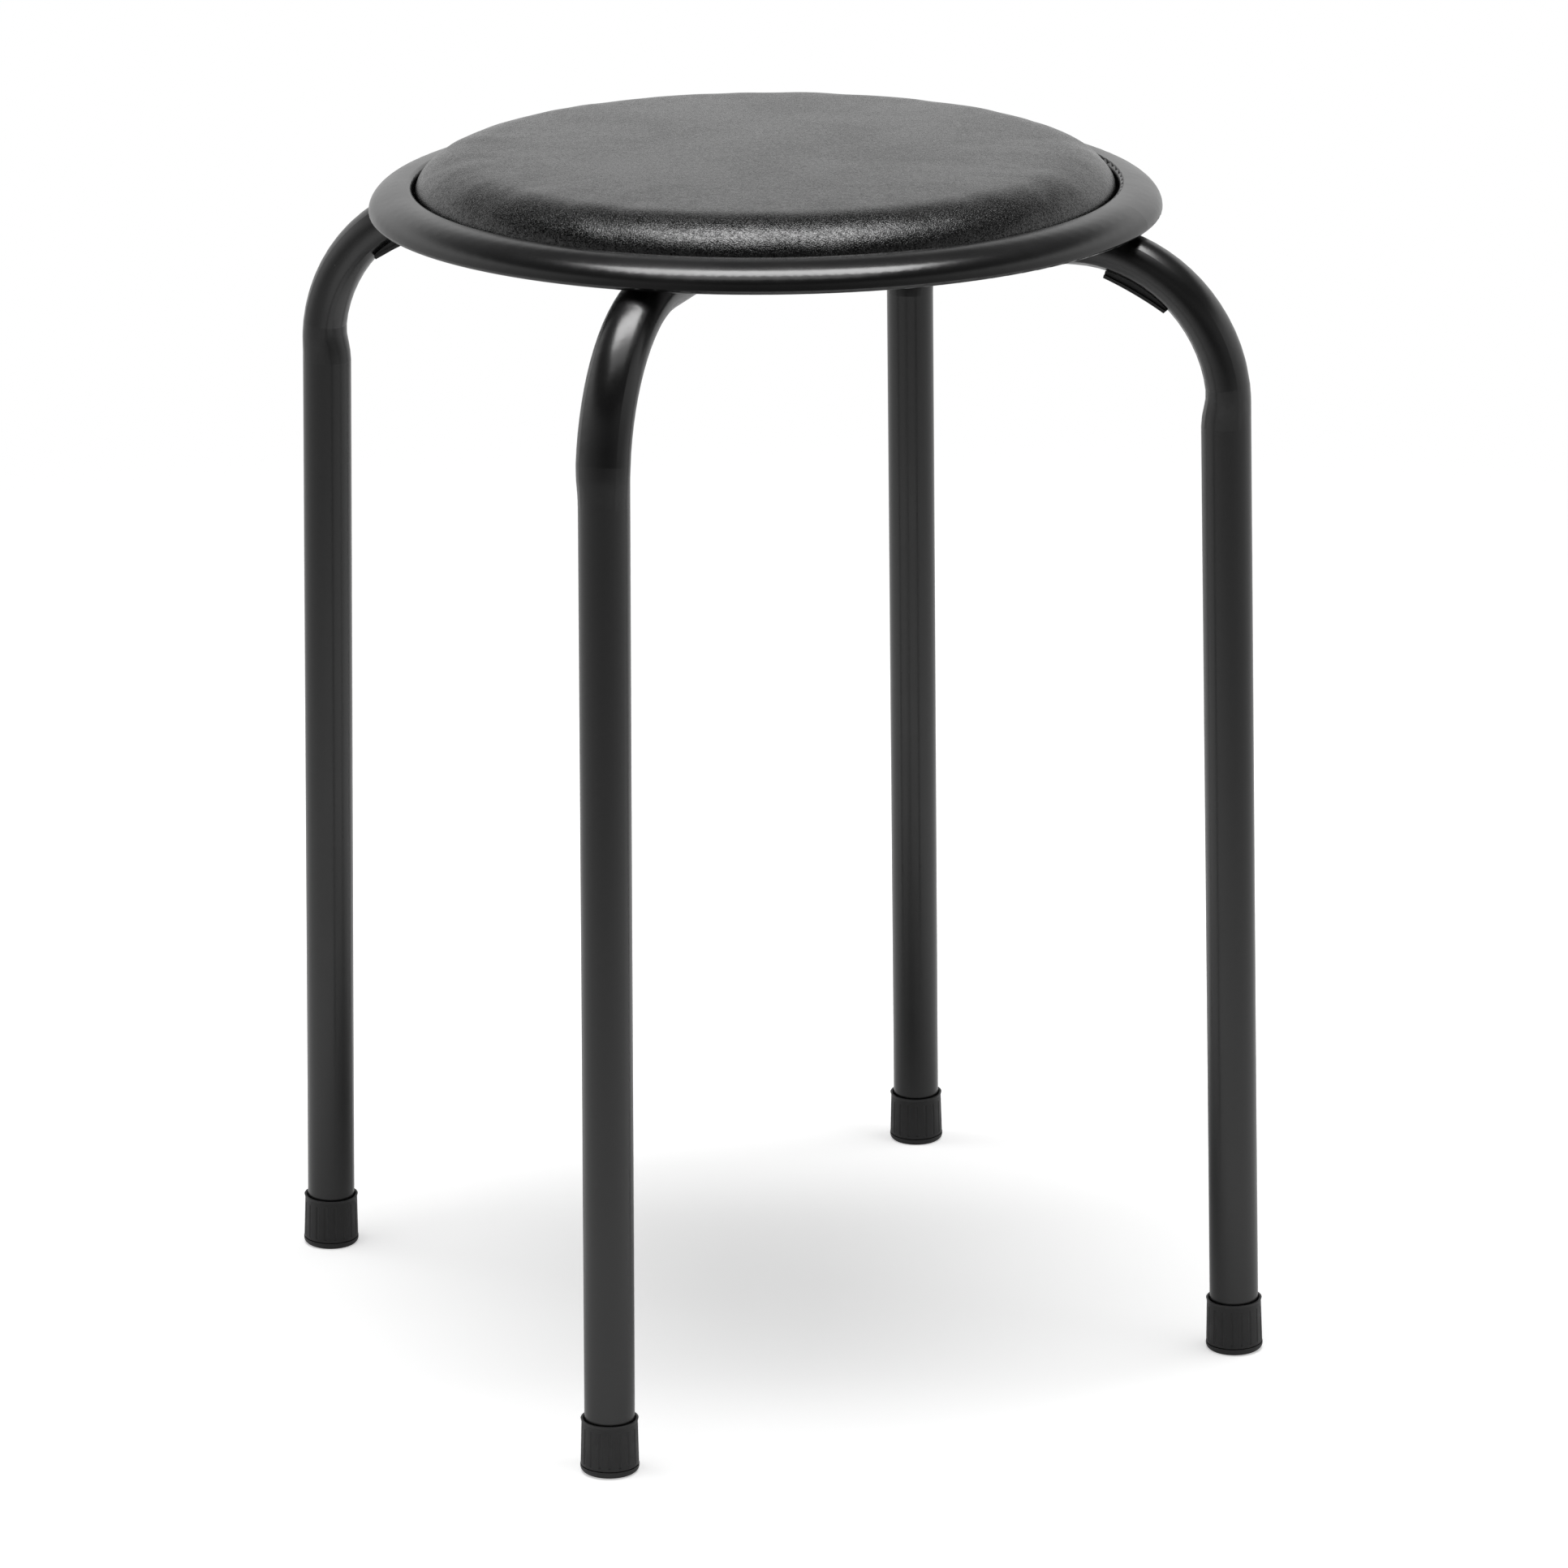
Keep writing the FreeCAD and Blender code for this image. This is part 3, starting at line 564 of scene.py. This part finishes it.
def make_powder_paint():
    material, tree, shader = new_finish("black_powder_paint", IOR=1.55)
    peel = use_effect(tree, orange_peel, Swell_Size=3.2, Tooth_Size=0.5, Tooth_Share=0.12)
    patches = use_effect(tree, mottling, Patch_Size=60.0, Fleck_Size=1.2, Fleck_Share=0.25)
    dust = use_effect(tree, specks, Spacing=16.0, Speck_Size=0.20, Share=0.22)
    rubbed = use_effect(tree, rubbed_edges, Reach=0.7, Break_Up=0.8)
    colour = mix_colour(tree, patches.outputs["Patches"], POWDER_DEEP, POWDER_PALE)
    colour = mix_colour(tree, rubbed.outputs["Mask"], colour, POWDER_RUBBED)
    colour = mix_colour(tree, dust.outputs["Mask"], colour, POWDER_DUST)
    wire(tree, colour, shader.inputs["Base Color"])
    satin = ramp(tree, patches.outputs["Patches"], 0.0, 1.0, *POWDER_SATIN)
    polish = reckon(tree, "MULTIPLY", rubbed.outputs["Mask"], POWDER_POLISHED_BY)
    wire(tree, reckon(tree, "SUBTRACT", satin, polish), shader.inputs["Roughness"])
    swell = bump(tree, peel.outputs["Height"], POWDER_SWELL_MM, shader)
    bump(tree, dust.outputs["Mask"], POWDER_SPECK_MM, shader, swell)
    return material


powder_paint = make_powder_paint()
print("made", powder_paint.name)

# %% [markdown]
# ## Black moulded plastic
# Feet and pads are polyethylene from a spark-finished mould: duller than the paint,
# with a fine even tooth and slightly greyer where it has been scuffed. The ribs of
# the feet are real shape already, so the finish adds no ribs.

# %% Mould the plastic
PLASTIC_DEEP = (0.0085, 0.0085, 0.0088)
PLASTIC_PALE = (0.014, 0.014, 0.0144)
PLASTIC_SCUFFED = (0.045, 0.045, 0.045)
PLASTIC_DUST = (0.13, 0.13, 0.125)
PLASTIC_DULL = (0.46, 0.58)
PLASTIC_TOOTH_MM = 0.018


def make_black_plastic():
    material, tree, shader = new_finish("black_moulded_plastic", IOR=1.49)
    tooth = use_effect(tree, orange_peel, Swell_Size=0.9, Tooth_Size=0.25, Tooth_Share=0.6)
    patches = use_effect(tree, mottling, Patch_Size=9.0, Fleck_Size=0.8, Fleck_Share=0.6)
    dust = use_effect(tree, specks, Spacing=7.0, Speck_Size=0.14, Share=0.2)
    rubbed = use_effect(tree, rubbed_edges, Reach=0.35, Break_Up=0.6)
    colour = mix_colour(tree, patches.outputs["Patches"], PLASTIC_DEEP, PLASTIC_PALE)
    colour = mix_colour(tree, rubbed.outputs["Mask"], colour, PLASTIC_SCUFFED)
    colour = mix_colour(tree, dust.outputs["Mask"], colour, PLASTIC_DUST)
    wire(tree, colour, shader.inputs["Base Color"])
    dull = ramp(tree, patches.outputs["Patches"], 0.0, 1.0, *PLASTIC_DULL)
    wire(tree, dull, shader.inputs["Roughness"])
    bump(tree, tooth.outputs["Height"], PLASTIC_TOOTH_MM, shader)
    return material


black_plastic = make_black_plastic()
print("made", black_plastic.name)

# %% [markdown]
# ## Black vinyl
# The cover is calendered vinyl on a knitted back. It has a fine pebble, a satin
# topcoat, and broad soft patches where the topcoat is a little duller. From low down
# the top mirrors the white background and reads as mid grey, while the rounded edge
# turns to the dim room and goes dark, so one plain material has to do both. Valleys
# see less of the studio than the pebbles, so their reflection is turned down. That
# is what keeps the grain visible on the flat top. The plain way is a mask on the
# specular level, but an exported model loses it there. So the mask feeds Metallic: a
# metal of this nearly black colour mirrors next to nothing, and the mix of clear skin
# and black metal is a weaker mirror. A slightly grey specular tint keeps the metal from
# turning bright at a low angle, and an index of refraction above vinyl's 1.54 gives
# back what the tint takes from the skin.

# %% Roll the vinyl
VINYL_DEEP = (0.0028, 0.0028, 0.0029)
VINYL_PALE = (0.0046, 0.0046, 0.0047)
# Painted shade: the valleys between the pebbles are coloured darker, for the shade the pebbles
# cast into them.
VINYL_VALLEY_PAINTED_SHADE = (0.0020, 0.0020, 0.0021)
VINYL_DUST = (0.10, 0.10, 0.098)
VINYL_SATIN = (0.17, 0.23)
VALLEY_DULLER_BY = 0.10
VINYL_IOR = 1.76
MIRROR_TINT = (0.91, 0.91, 0.91, 1)
MIRROR_LOST_IN_VALLEYS = 0.41
MIRROR_LOST_IN_CLUMPS = 0.55
PEBBLE_HEIGHT_MM = 0.050
FINE_HEIGHT_MM = 0.010


def make_vinyl():
    material, tree, shader = new_finish(
        "black_pebbled_vinyl", IOR=VINYL_IOR, Specular_Tint=MIRROR_TINT
    )
    pebbles = use_effect(tree, pebble_grain, Pebble_Size=0.50, Unevenness=0.9)
    fine = use_effect(tree, orange_peel, Swell_Size=0.45, Tooth_Size=0.18, Tooth_Share=0.5)
    patches = use_effect(tree, mottling, Patch_Size=38.0, Fleck_Size=3.0, Fleck_Share=0.9)
    clumps = use_effect(tree, mottling, Patch_Size=1.5, Fleck_Size=0.8, Fleck_Share=0.8)
    dust = use_effect(tree, specks, Spacing=22.0, Speck_Size=0.16, Share=0.15)
    colour = mix_colour(tree, patches.outputs["Patches"], VINYL_DEEP, VINYL_PALE)
    # Painted shade: the valleys are coloured darker where the pebbles would shade them.
    colour = mix_colour(tree, pebbles.outputs["Valley"], colour, VINYL_VALLEY_PAINTED_SHADE)
    colour = mix_colour(tree, dust.outputs["Mask"], colour, VINYL_DUST)
    wire(tree, colour, shader.inputs["Base Color"])
    satin = ramp(tree, patches.outputs["Patches"], 0.0, 1.0, *VINYL_SATIN)
    dull = reckon(tree, "MULTIPLY", pebbles.outputs["Valley"], VALLEY_DULLER_BY)
    wire(tree, reckon(tree, "ADD", satin, dull), shader.inputs["Roughness"])
    # Painted shade on the mirror: through Metallic, the valleys reflect less, for the studio
    # light the pebbles block.
    shaded = reckon(tree, "MULTIPLY", pebbles.outputs["Valley"], MIRROR_LOST_IN_VALLEYS)
    clumped = reckon(tree, "MULTIPLY", clumps.outputs["Patches"], MIRROR_LOST_IN_CLUMPS)
    wire(tree, reckon(tree, "ADD", shaded, clumped), shader.inputs["Metallic"])
    low = bump(tree, pebbles.outputs["Height"], PEBBLE_HEIGHT_MM, shader)
    bump(tree, fine.outputs["Height"], FINE_HEIGHT_MM, shader, low)
    return material


vinyl = make_vinyl()
print("made", vinyl.name)

# %% [markdown]
# ## Zinc, plywood and foam
# These hide under the seat or inside the cushion, but a stool is judged from below
# too, and one flat colour would look like paint there. Zinc plate is a pale metal with
# a faint cloud. Birch plywood is warm with long grain on its face, so its noise is
# stretched along one axis instead of being drawn as lines. Cushion foam is cream with
# open cells, which the pebble grain gives when its bump is deep.

# %% Plate the zinc
ZINC_DEEP = (0.50, 0.51, 0.53)
ZINC_PALE = (0.64, 0.65, 0.66)
ZINC_RUBBED = (0.74, 0.74, 0.74)
ZINC_SATIN = (0.28, 0.44)
ZINC_CLOUD_MM = 0.006


def make_zinc():
    material, tree, shader = new_finish("zinc_plate", Metallic=1.0)
    patches = use_effect(tree, mottling, Patch_Size=3.0, Fleck_Size=0.5, Fleck_Share=0.7)
    rubbed = use_effect(tree, rubbed_edges, Reach=0.3, Break_Up=0.4)
    colour = mix_colour(tree, patches.outputs["Patches"], ZINC_DEEP, ZINC_PALE)
    colour = mix_colour(tree, rubbed.outputs["Mask"], colour, ZINC_RUBBED)
    wire(tree, colour, shader.inputs["Base Color"])
    satin = ramp(tree, patches.outputs["Patches"], 0.0, 1.0, *ZINC_SATIN)
    wire(tree, satin, shader.inputs["Roughness"])
    bump(tree, patches.outputs["Patches"], ZINC_CLOUD_MM, shader)
    return material


zinc = make_zinc()
print("made", zinc.name)


# %% Cut the plywood
BIRCH_DEEP = (0.50, 0.35, 0.20)
BIRCH_PALE = (0.66, 0.51, 0.34)
BIRCH_SHADED_DEEP = (0.42, 0.29, 0.16)
BIRCH_SHADED_PALE = (0.58, 0.44, 0.28)
GRAIN_PER_METRE = (18.0, 260.0, 700.0)
GRAIN_RANGE = (0.35, 0.68)
GRAIN_HEIGHT_MM = 0.05


def make_plywood():
    material, tree, shader = new_finish("birch_plywood", Roughness=0.62)
    place_in = place(tree, "ShaderNodeTexCoord")
    stretch = place(tree, "ShaderNodeMapping", Scale=GRAIN_PER_METRE)
    wire(tree, place_in.outputs["Object"], stretch.inputs["Vector"])
    grain = place(tree, "ShaderNodeTexNoise", Scale=1.0, Detail=5.0, Roughness=0.6)
    wire(tree, stretch.outputs[0], grain.inputs["Vector"])
    patches = use_effect(tree, mottling, Patch_Size=50.0, Fleck_Size=6.0, Fleck_Share=0.4)
    streak = ramp(tree, grain.outputs["Fac"], *GRAIN_RANGE)
    colour = mix_colour(tree, streak, BIRCH_DEEP, BIRCH_PALE)
    darker = mix_colour(tree, streak, BIRCH_SHADED_DEEP, BIRCH_SHADED_PALE)
    colour = mix_colour(tree, patches.outputs["Patches"], colour, darker)
    wire(tree, colour, shader.inputs["Base Color"])
    bump(tree, streak, GRAIN_HEIGHT_MM, shader)
    return material


plywood = make_plywood()
print("made", plywood.name)


# %% Pour the foam
FOAM_DEEP = (0.70, 0.65, 0.50)
FOAM_PALE = (0.80, 0.76, 0.62)
# Painted shade: the hollows of the open cells are coloured darker, for the shade inside them.
FOAM_CELL_PAINTED_SHADE = (0.55, 0.50, 0.37)
FOAM_CELL_MM = 0.25


def make_foam():
    material, tree, shader = new_finish("cushion_foam_cells", Roughness=0.92)
    cells = use_effect(tree, pebble_grain, Pebble_Size=0.9, Unevenness=0.8)
    patches = use_effect(tree, mottling, Patch_Size=30.0, Fleck_Size=2.0, Fleck_Share=0.4)
    colour = mix_colour(tree, patches.outputs["Patches"], FOAM_DEEP, FOAM_PALE)
    # Painted shade in the cell hollows.
    colour = mix_colour(tree, cells.outputs["Valley"], colour, FOAM_CELL_PAINTED_SHADE)
    wire(tree, colour, shader.inputs["Base Color"])
    bump(tree, cells.outputs["Height"], FOAM_CELL_MM, shader)
    return material


foam_cells = make_foam()
print("made", foam_cells.name)

# %% [markdown]
# ## Dressing the hard pieces
# A loaded piece keeps its mesh and only gets a better material in its slot. The
# pieces are told apart by the start of their names, so that all four feet, for
# example, share one finish.

# %% Give each hard piece its finish
FINISHES = {
    "leg_frame": powder_paint,
    "seat_pan": powder_paint,
    "foot": black_plastic,
    "stacking_pad": black_plastic,
    "seat_screw": zinc,
    "board_nut": zinc,
    "cover_staples": zinc,
    "cushion_board": plywood,
}
for name, piece in pieces.items():
    for start, finish in FINISHES.items():
        if name.startswith(start):
            piece.data.materials.clear()
            piece.data.materials.append(finish)
print("dressed:", sorted(name for name, piece in pieces.items() if piece.data.materials))

# %% [markdown]
# ## The cushion's outline
# The cushion is a disc of foam on a board, under vinyl that is pulled round the edge.
# Its section is a low crown, a long soft shoulder, a tight tuck at the foot of the
# side, and the turned-under vinyl. Each is a short run of points, given as a radius
# and a height, from the crown outwards and back in underneath.

# %% Measure the cushion and draw its section
SHOULDER_WIDTH = 22.6 * MM
SHOULDER_HEIGHT = 15.4 * MM
TUCK = 2.8 * MM
TURN_UNDER = 18.0 * MM
VINYL = 0.8 * MM
CAP_RADIUS = 100.0 * MM
CROWN_STEPS = 3
SHOULDER_STEPS = 14
TUCK_STEPS = 5
FLANGE_STEPS = 4

cover_low, cover_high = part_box("cushion_cover")
cushion_radius = cover_high.x
cushion_floor = cover_low.z
widest = cushion_floor + TUCK
flat_edge = cushion_radius - SHOULDER_WIDTH
crown = cover_high.z - widest - SHOULDER_HEIGHT
print("cushion radius", round(cushion_radius, 4), "crown", round(crown, 5))


def crown_height(radius, inset=0.0, sunk=0.0):
    """Height of the top at a radius, less an inset, with its crown sunk by a height."""
    rise = (crown - sunk) * (1 - min(radius / flat_edge, 1.0) ** 2)
    return widest + SHOULDER_HEIGHT - inset + rise


def section_points(inset, sunk=0.0):
    """The section from the edge of the cap round to the foot of the tuck."""
    points = []
    for step in range(CROWN_STEPS):
        radius = CAP_RADIUS + (flat_edge - CAP_RADIUS) * step / CROWN_STEPS
        points.append((radius, crown_height(radius, inset, sunk)))
    for step in range(SHOULDER_STEPS + 1):
        angle = math.pi / 2 * (1 - step / SHOULDER_STEPS)
        radius = flat_edge + (SHOULDER_WIDTH - inset) * math.cos(angle)
        points.append((radius, widest + (SHOULDER_HEIGHT - inset) * math.sin(angle)))
    for step in range(1, TUCK_STEPS + 1):
        angle = math.pi / 2 * step / TUCK_STEPS
        radius = cushion_radius - TUCK + (TUCK - inset) * math.cos(angle)
        points.append((radius, widest - (TUCK - inset) * math.sin(angle)))
    return points


print("section points:", len(section_points(0.0)))

# %% [markdown]
# ## Quads without a pole
# A round top could be a fan of triangles, but they pinch at the middle and cloth
# pulls them into a star. Here the middle is a square grid that is pushed out into
# circles, so every face is a quad of about the same size, and rings of the same count
# carry on from its edge.

# %% Make a cap of quads
SEGMENTS = 208
POINTS_PER_STEP = 8


def cap_place(column, row, count):
    """Where a point of the square grid goes on the disc: share of radius and angle."""
    reach = max(abs(column), abs(row))
    if reach == 0:
        return 0.0, 0.0
    if abs(column) >= abs(row):
        turn_to = math.pi / 4 * row / column + (math.pi if column < 0 else 0.0)
    else:
        turn_to = math.pi / 2 - math.pi / 4 * column / row + (math.pi if row < 0 else 0.0)
    return reach / count, turn_to % (2 * math.pi)


def add_cap(mesh, radius, height_at):
    """A disc of quads; gives its rim points in order round the circle.

    A step further out in the grid adds two points to each of its four sides.
    """
    count = SEGMENTS // POINTS_PER_STEP
    grid, rim = {}, {}
    for column in range(-count, count + 1):
        for row in range(-count, count + 1):
            share, angle = cap_place(column, row, count)
            out = share * radius
            point = (out * math.cos(angle), out * math.sin(angle), height_at(out))
            grid[column, row] = mesh.verts.new(point)
            if max(abs(column), abs(row)) == count:
                rim[round(angle / (2 * math.pi) * SEGMENTS) % SEGMENTS] = grid[column, row]
    for column in range(-count, count):
        for row in range(-count, count):
            corners = ((column, row), (column + 1, row), (column + 1, row + 1), (column, row + 1))
            mesh.faces.new([grid[corner] for corner in corners])
    return [rim[index] for index in range(SEGMENTS)]


print("cap steps from the middle to the rim:", SEGMENTS // POINTS_PER_STEP)


# %% Add rings and close a pad
def add_ring(mesh, previous, radius, height):
    """One more ring of points, joined to the ring before it."""
    ring = []
    for index in range(SEGMENTS):
        angle = 2 * math.pi * index / SEGMENTS
        ring.append(mesh.verts.new((radius * math.cos(angle), radius * math.sin(angle), height)))
    join_rings(mesh, previous, ring)
    return ring


def join_rings(mesh, first, second):
    for index in range(SEGMENTS):
        after = (index + 1) % SEGMENTS
        mesh.faces.new((first[index], second[index], second[after], first[after]))


def round_pad(name, top_at, points, under_radius, under_at):
    """A closed pad: a cap on top, rings down the side, and a cap underneath."""
    mesh = bmesh.new()
    ring = add_cap(mesh, points[0][0], top_at)
    for radius, height in points[1:]:
        ring = add_ring(mesh, ring, radius, height)
    join_rings(mesh, ring, add_cap(mesh, under_radius, under_at))
    bmesh.ops.recalc_face_normals(mesh, faces=mesh.faces)
    data = bpy.data.meshes.new(name)
    mesh.to_mesh(data)
    mesh.free()
    pad = bpy.data.objects.new(name, data)
    bpy.context.scene.collection.objects.link(pad)
    return pad


print("points in each ring:", SEGMENTS)

# %% Make the cover before it is stuffed
open_radius = cushion_radius - TUCK - TURN_UNDER
cover_points = section_points(0.0, sunk=crown)
for step in range(1, FLANGE_STEPS):
    inward = TURN_UNDER * step / FLANGE_STEPS
    cover_points.append((cushion_radius - TUCK - inward, cushion_floor))
cover = round_pad(
    "vinyl_cover",
    lambda radius: crown_height(radius, sunk=crown),
    cover_points,
    open_radius,
    lambda radius: cushion_floor,
)
print("cover before stuffing:", len(cover.data.vertices), "points")

# %% [markdown]
# ## Stuffing the cover
# The crown could be drawn in, but a drawn crown is too perfect. Real vinyl is
# stretched over foam that pushes back. So the cover starts with a flat top, is held
# up to just above its widest line as the board and staples hold it, and cloth with a
# little pressure inside lifts the rest. How far a point may move is capped, because the
# cushion still has to sit in its pan.

# %% Let pressure raise the crown
PRESSURE = 4.0
STIFFNESS = 40.0
FRAMES = 20
MOST_LIFT = 2.4 * MM
MOST_BULGE = 0.35 * MM
HELD_BELOW = widest + 1.5 * MM
LEAST_LIFT = 1e-9


def stuff(pad):
    """Run the cloth with pressure and give every point's move."""
    held = pad.vertex_groups.new(name="held")
    below = [point.index for point in pad.data.vertices if point.co.z < HELD_BELOW]
    held.add(below, 1.0, "REPLACE")
    cloth = pad.modifiers.new("stuffing", "CLOTH")
    cloth.settings.vertex_group_mass = held.name
    cloth.settings.use_pressure = True
    cloth.settings.uniform_pressure_force = PRESSURE
    cloth.settings.effector_weights.gravity = 0.0
    cloth.settings.tension_stiffness = STIFFNESS
    cloth.settings.compression_stiffness = STIFFNESS
    cloth.point_cache.frame_end = FRAMES
    for number in range(1, FRAMES + 1):
        bpy.context.scene.frame_set(number)
    ready = pad.evaluated_get(bpy.context.evaluated_depsgraph_get())
    pairs = zip(ready.data.vertices, pad.data.vertices)
    moves = [after.co - before.co for after, before in pairs]
    pad.modifiers.remove(cloth)
    pad.vertex_groups.clear()
    bpy.context.scene.frame_set(1)
    return moves


moves = stuff(cover)
highest = max(move.z for move in moves)
scale_up = crown / highest if highest > 0 else 1.0
for point, move in zip(cover.data.vertices, moves):
    move = move * min(scale_up, MOST_LIFT / max(highest, LEAST_LIFT))
    sideways = Vector((move.x, move.y, 0))
    if sideways.length > MOST_BULGE:
        sideways = sideways.normalized() * MOST_BULGE
    point.co = point.co + Vector((sideways.x, sideways.y, move.z))
print("pressure lifted the top by", round(highest / MM, 2), "mm, used at", round(scale_up, 2))

# %% [markdown]
# ## Small unevenness
# Stretched vinyl is never a perfect surface. Broad dents less than a tenth of a
# millimetre deep bend the reflections on top, short puckers gather near the tuck,
# where the material has to fit a smaller circle, and underneath they go on as shallow
# pleats. A bump could fake them, but only real moves of the mesh bend its outline too.
# One subdivision first gives it enough points.

# %% Subdivide and add the dents and puckers
DENT_DEPTH = 0.10 * MM
DENT_LENGTH = 42 * MM
RIPPLE_DEPTH = 0.035 * MM
RIPPLE_LENGTH = 11 * MM
PUCKER_DEPTH = 0.05 * MM
PUCKER_COUNT = 72
PUCKER_RISE = 6.0 * MM
PUCKER_DRIFT = 9.0
PUCKER_DRIFT_CIRCLE = 5.0
PUCKER_LEAST = 0.4
PLEAT_DEPTH = 0.22 * MM
FACES_DOWN = -0.5
RIPPLE_SHIFT = Vector((7, 3, 1))


def subdivided(pad):
    """Replace a pad's mesh by itself with one level of subdivision."""
    smooth = pad.modifiers.new("smooth", "SUBSURF")
    smooth.levels = 1
    ready = pad.evaluated_get(bpy.context.evaluated_depsgraph_get())
    data = bpy.data.meshes.new_from_object(ready)
    pad.modifiers.remove(smooth)
    old, pad.data = pad.data, data
    bpy.data.meshes.remove(old)
    data.name = pad.name


def uneven(point, normal):
    """How far one point of the cover moves along its normal."""
    dent = noise.noise(point / DENT_LENGTH) * DENT_DEPTH
    dent += noise.noise(point / RIPPLE_LENGTH + RIPPLE_SHIFT) * RIPPLE_DEPTH
    angle = math.atan2(point.y, point.x)
    above = point.z - widest
    outward = Vector((math.cos(angle), math.sin(angle), 0))
    drift = noise.noise(outward * PUCKER_DRIFT_CIRCLE)
    wave = math.sin(PUCKER_COUNT * angle + PUCKER_DRIFT * drift)
    near = max(0.0, 1 - abs(above) / PUCKER_RISE)
    pucker = wave * near * PUCKER_DEPTH * (PUCKER_LEAST + abs(drift))
    if normal.z < FACES_DOWN:
        return -abs(wave) * PLEAT_DEPTH
    return dent + pucker


subdivided(cover)
shifts = [uneven(point.co, point.normal) for point in cover.data.vertices]
normals = [point.normal.copy() for point in cover.data.vertices]
for point, shift, normal in zip(cover.data.vertices, shifts, normals):
    point.co = point.co + normal * shift
print("largest move:", round(max(abs(shift) for shift in shifts) / MM, 3), "mm")

# %% [markdown]
# ## A skin with a thickness
# The cover is open underneath, where the board shows. So the faces inside the
# turned-under edge go, and the rest is given the thickness of vinyl inwards.

# %% Open the underside and thicken the vinyl
def open_and_thicken(pad):
    mesh = bmesh.new()
    mesh.from_mesh(pad.data)
    gone = []
    for face in mesh.faces:
        middle = face.calc_center_median()
        if middle.z < widest and math.hypot(middle.x, middle.y) < open_radius:
            gone.append(face)
    bmesh.ops.delete(mesh, geom=gone, context="FACES")
    mesh.to_mesh(pad.data)
    mesh.free()
    skin = pad.modifiers.new("skin", "SOLIDIFY")
    skin.thickness = VINYL
    skin.offset = -1.0
    ready = pad.evaluated_get(bpy.context.evaluated_depsgraph_get())
    data = bpy.data.meshes.new_from_object(ready)
    pad.modifiers.remove(skin)
    pad.data = data
    for face in data.polygons:
        face.use_smooth = True


open_and_thicken(cover)
cover.data.materials.append(vinyl)
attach(cover, BODY)
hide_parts("cushion_cover")
print("cover:", len(cover.data.polygons), "faces")

# %% [markdown]
# ## The foam
# Under the vinyl the foam has the same outline, a little smaller. It lies on the
# board and wraps a thin skirt round the board's edge. It is made with the same cap
# and rings, so that it fits the cover everywhere.

# %% Build the foam
FOAM_INSET = 1.15 * MM
BOARD_GAP = 0.15 * MM
SKIRT_FOOT = 1.0 * MM
LAST_RING = 4.0 * MM

board_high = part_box("cushion_board")[1]
board_edge = board_high.x + BOARD_GAP
under = board_high.z + BOARD_GAP
foam_points = section_points(FOAM_INSET)
foam_points = [(out, up) for out, up in foam_points if up > cushion_floor + SKIRT_FOOT]
foam_points = [(out, up) for out, up in foam_points if out > board_edge or up > under]
foam_points.append((board_edge, foam_points[-1][1]))
foam_points.append((board_edge, under))
foam = round_pad(
    "foam_pad",
    lambda radius: crown_height(radius, FOAM_INSET),
    foam_points,
    board_edge - LAST_RING,
    lambda radius: under,
)
for face in foam.data.polygons:
    face.use_smooth = True
foam.data.materials.append(foam_cells)
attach(foam, BODY)
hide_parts("cushion_foam")
print("foam:", len(foam.data.polygons), "faces")
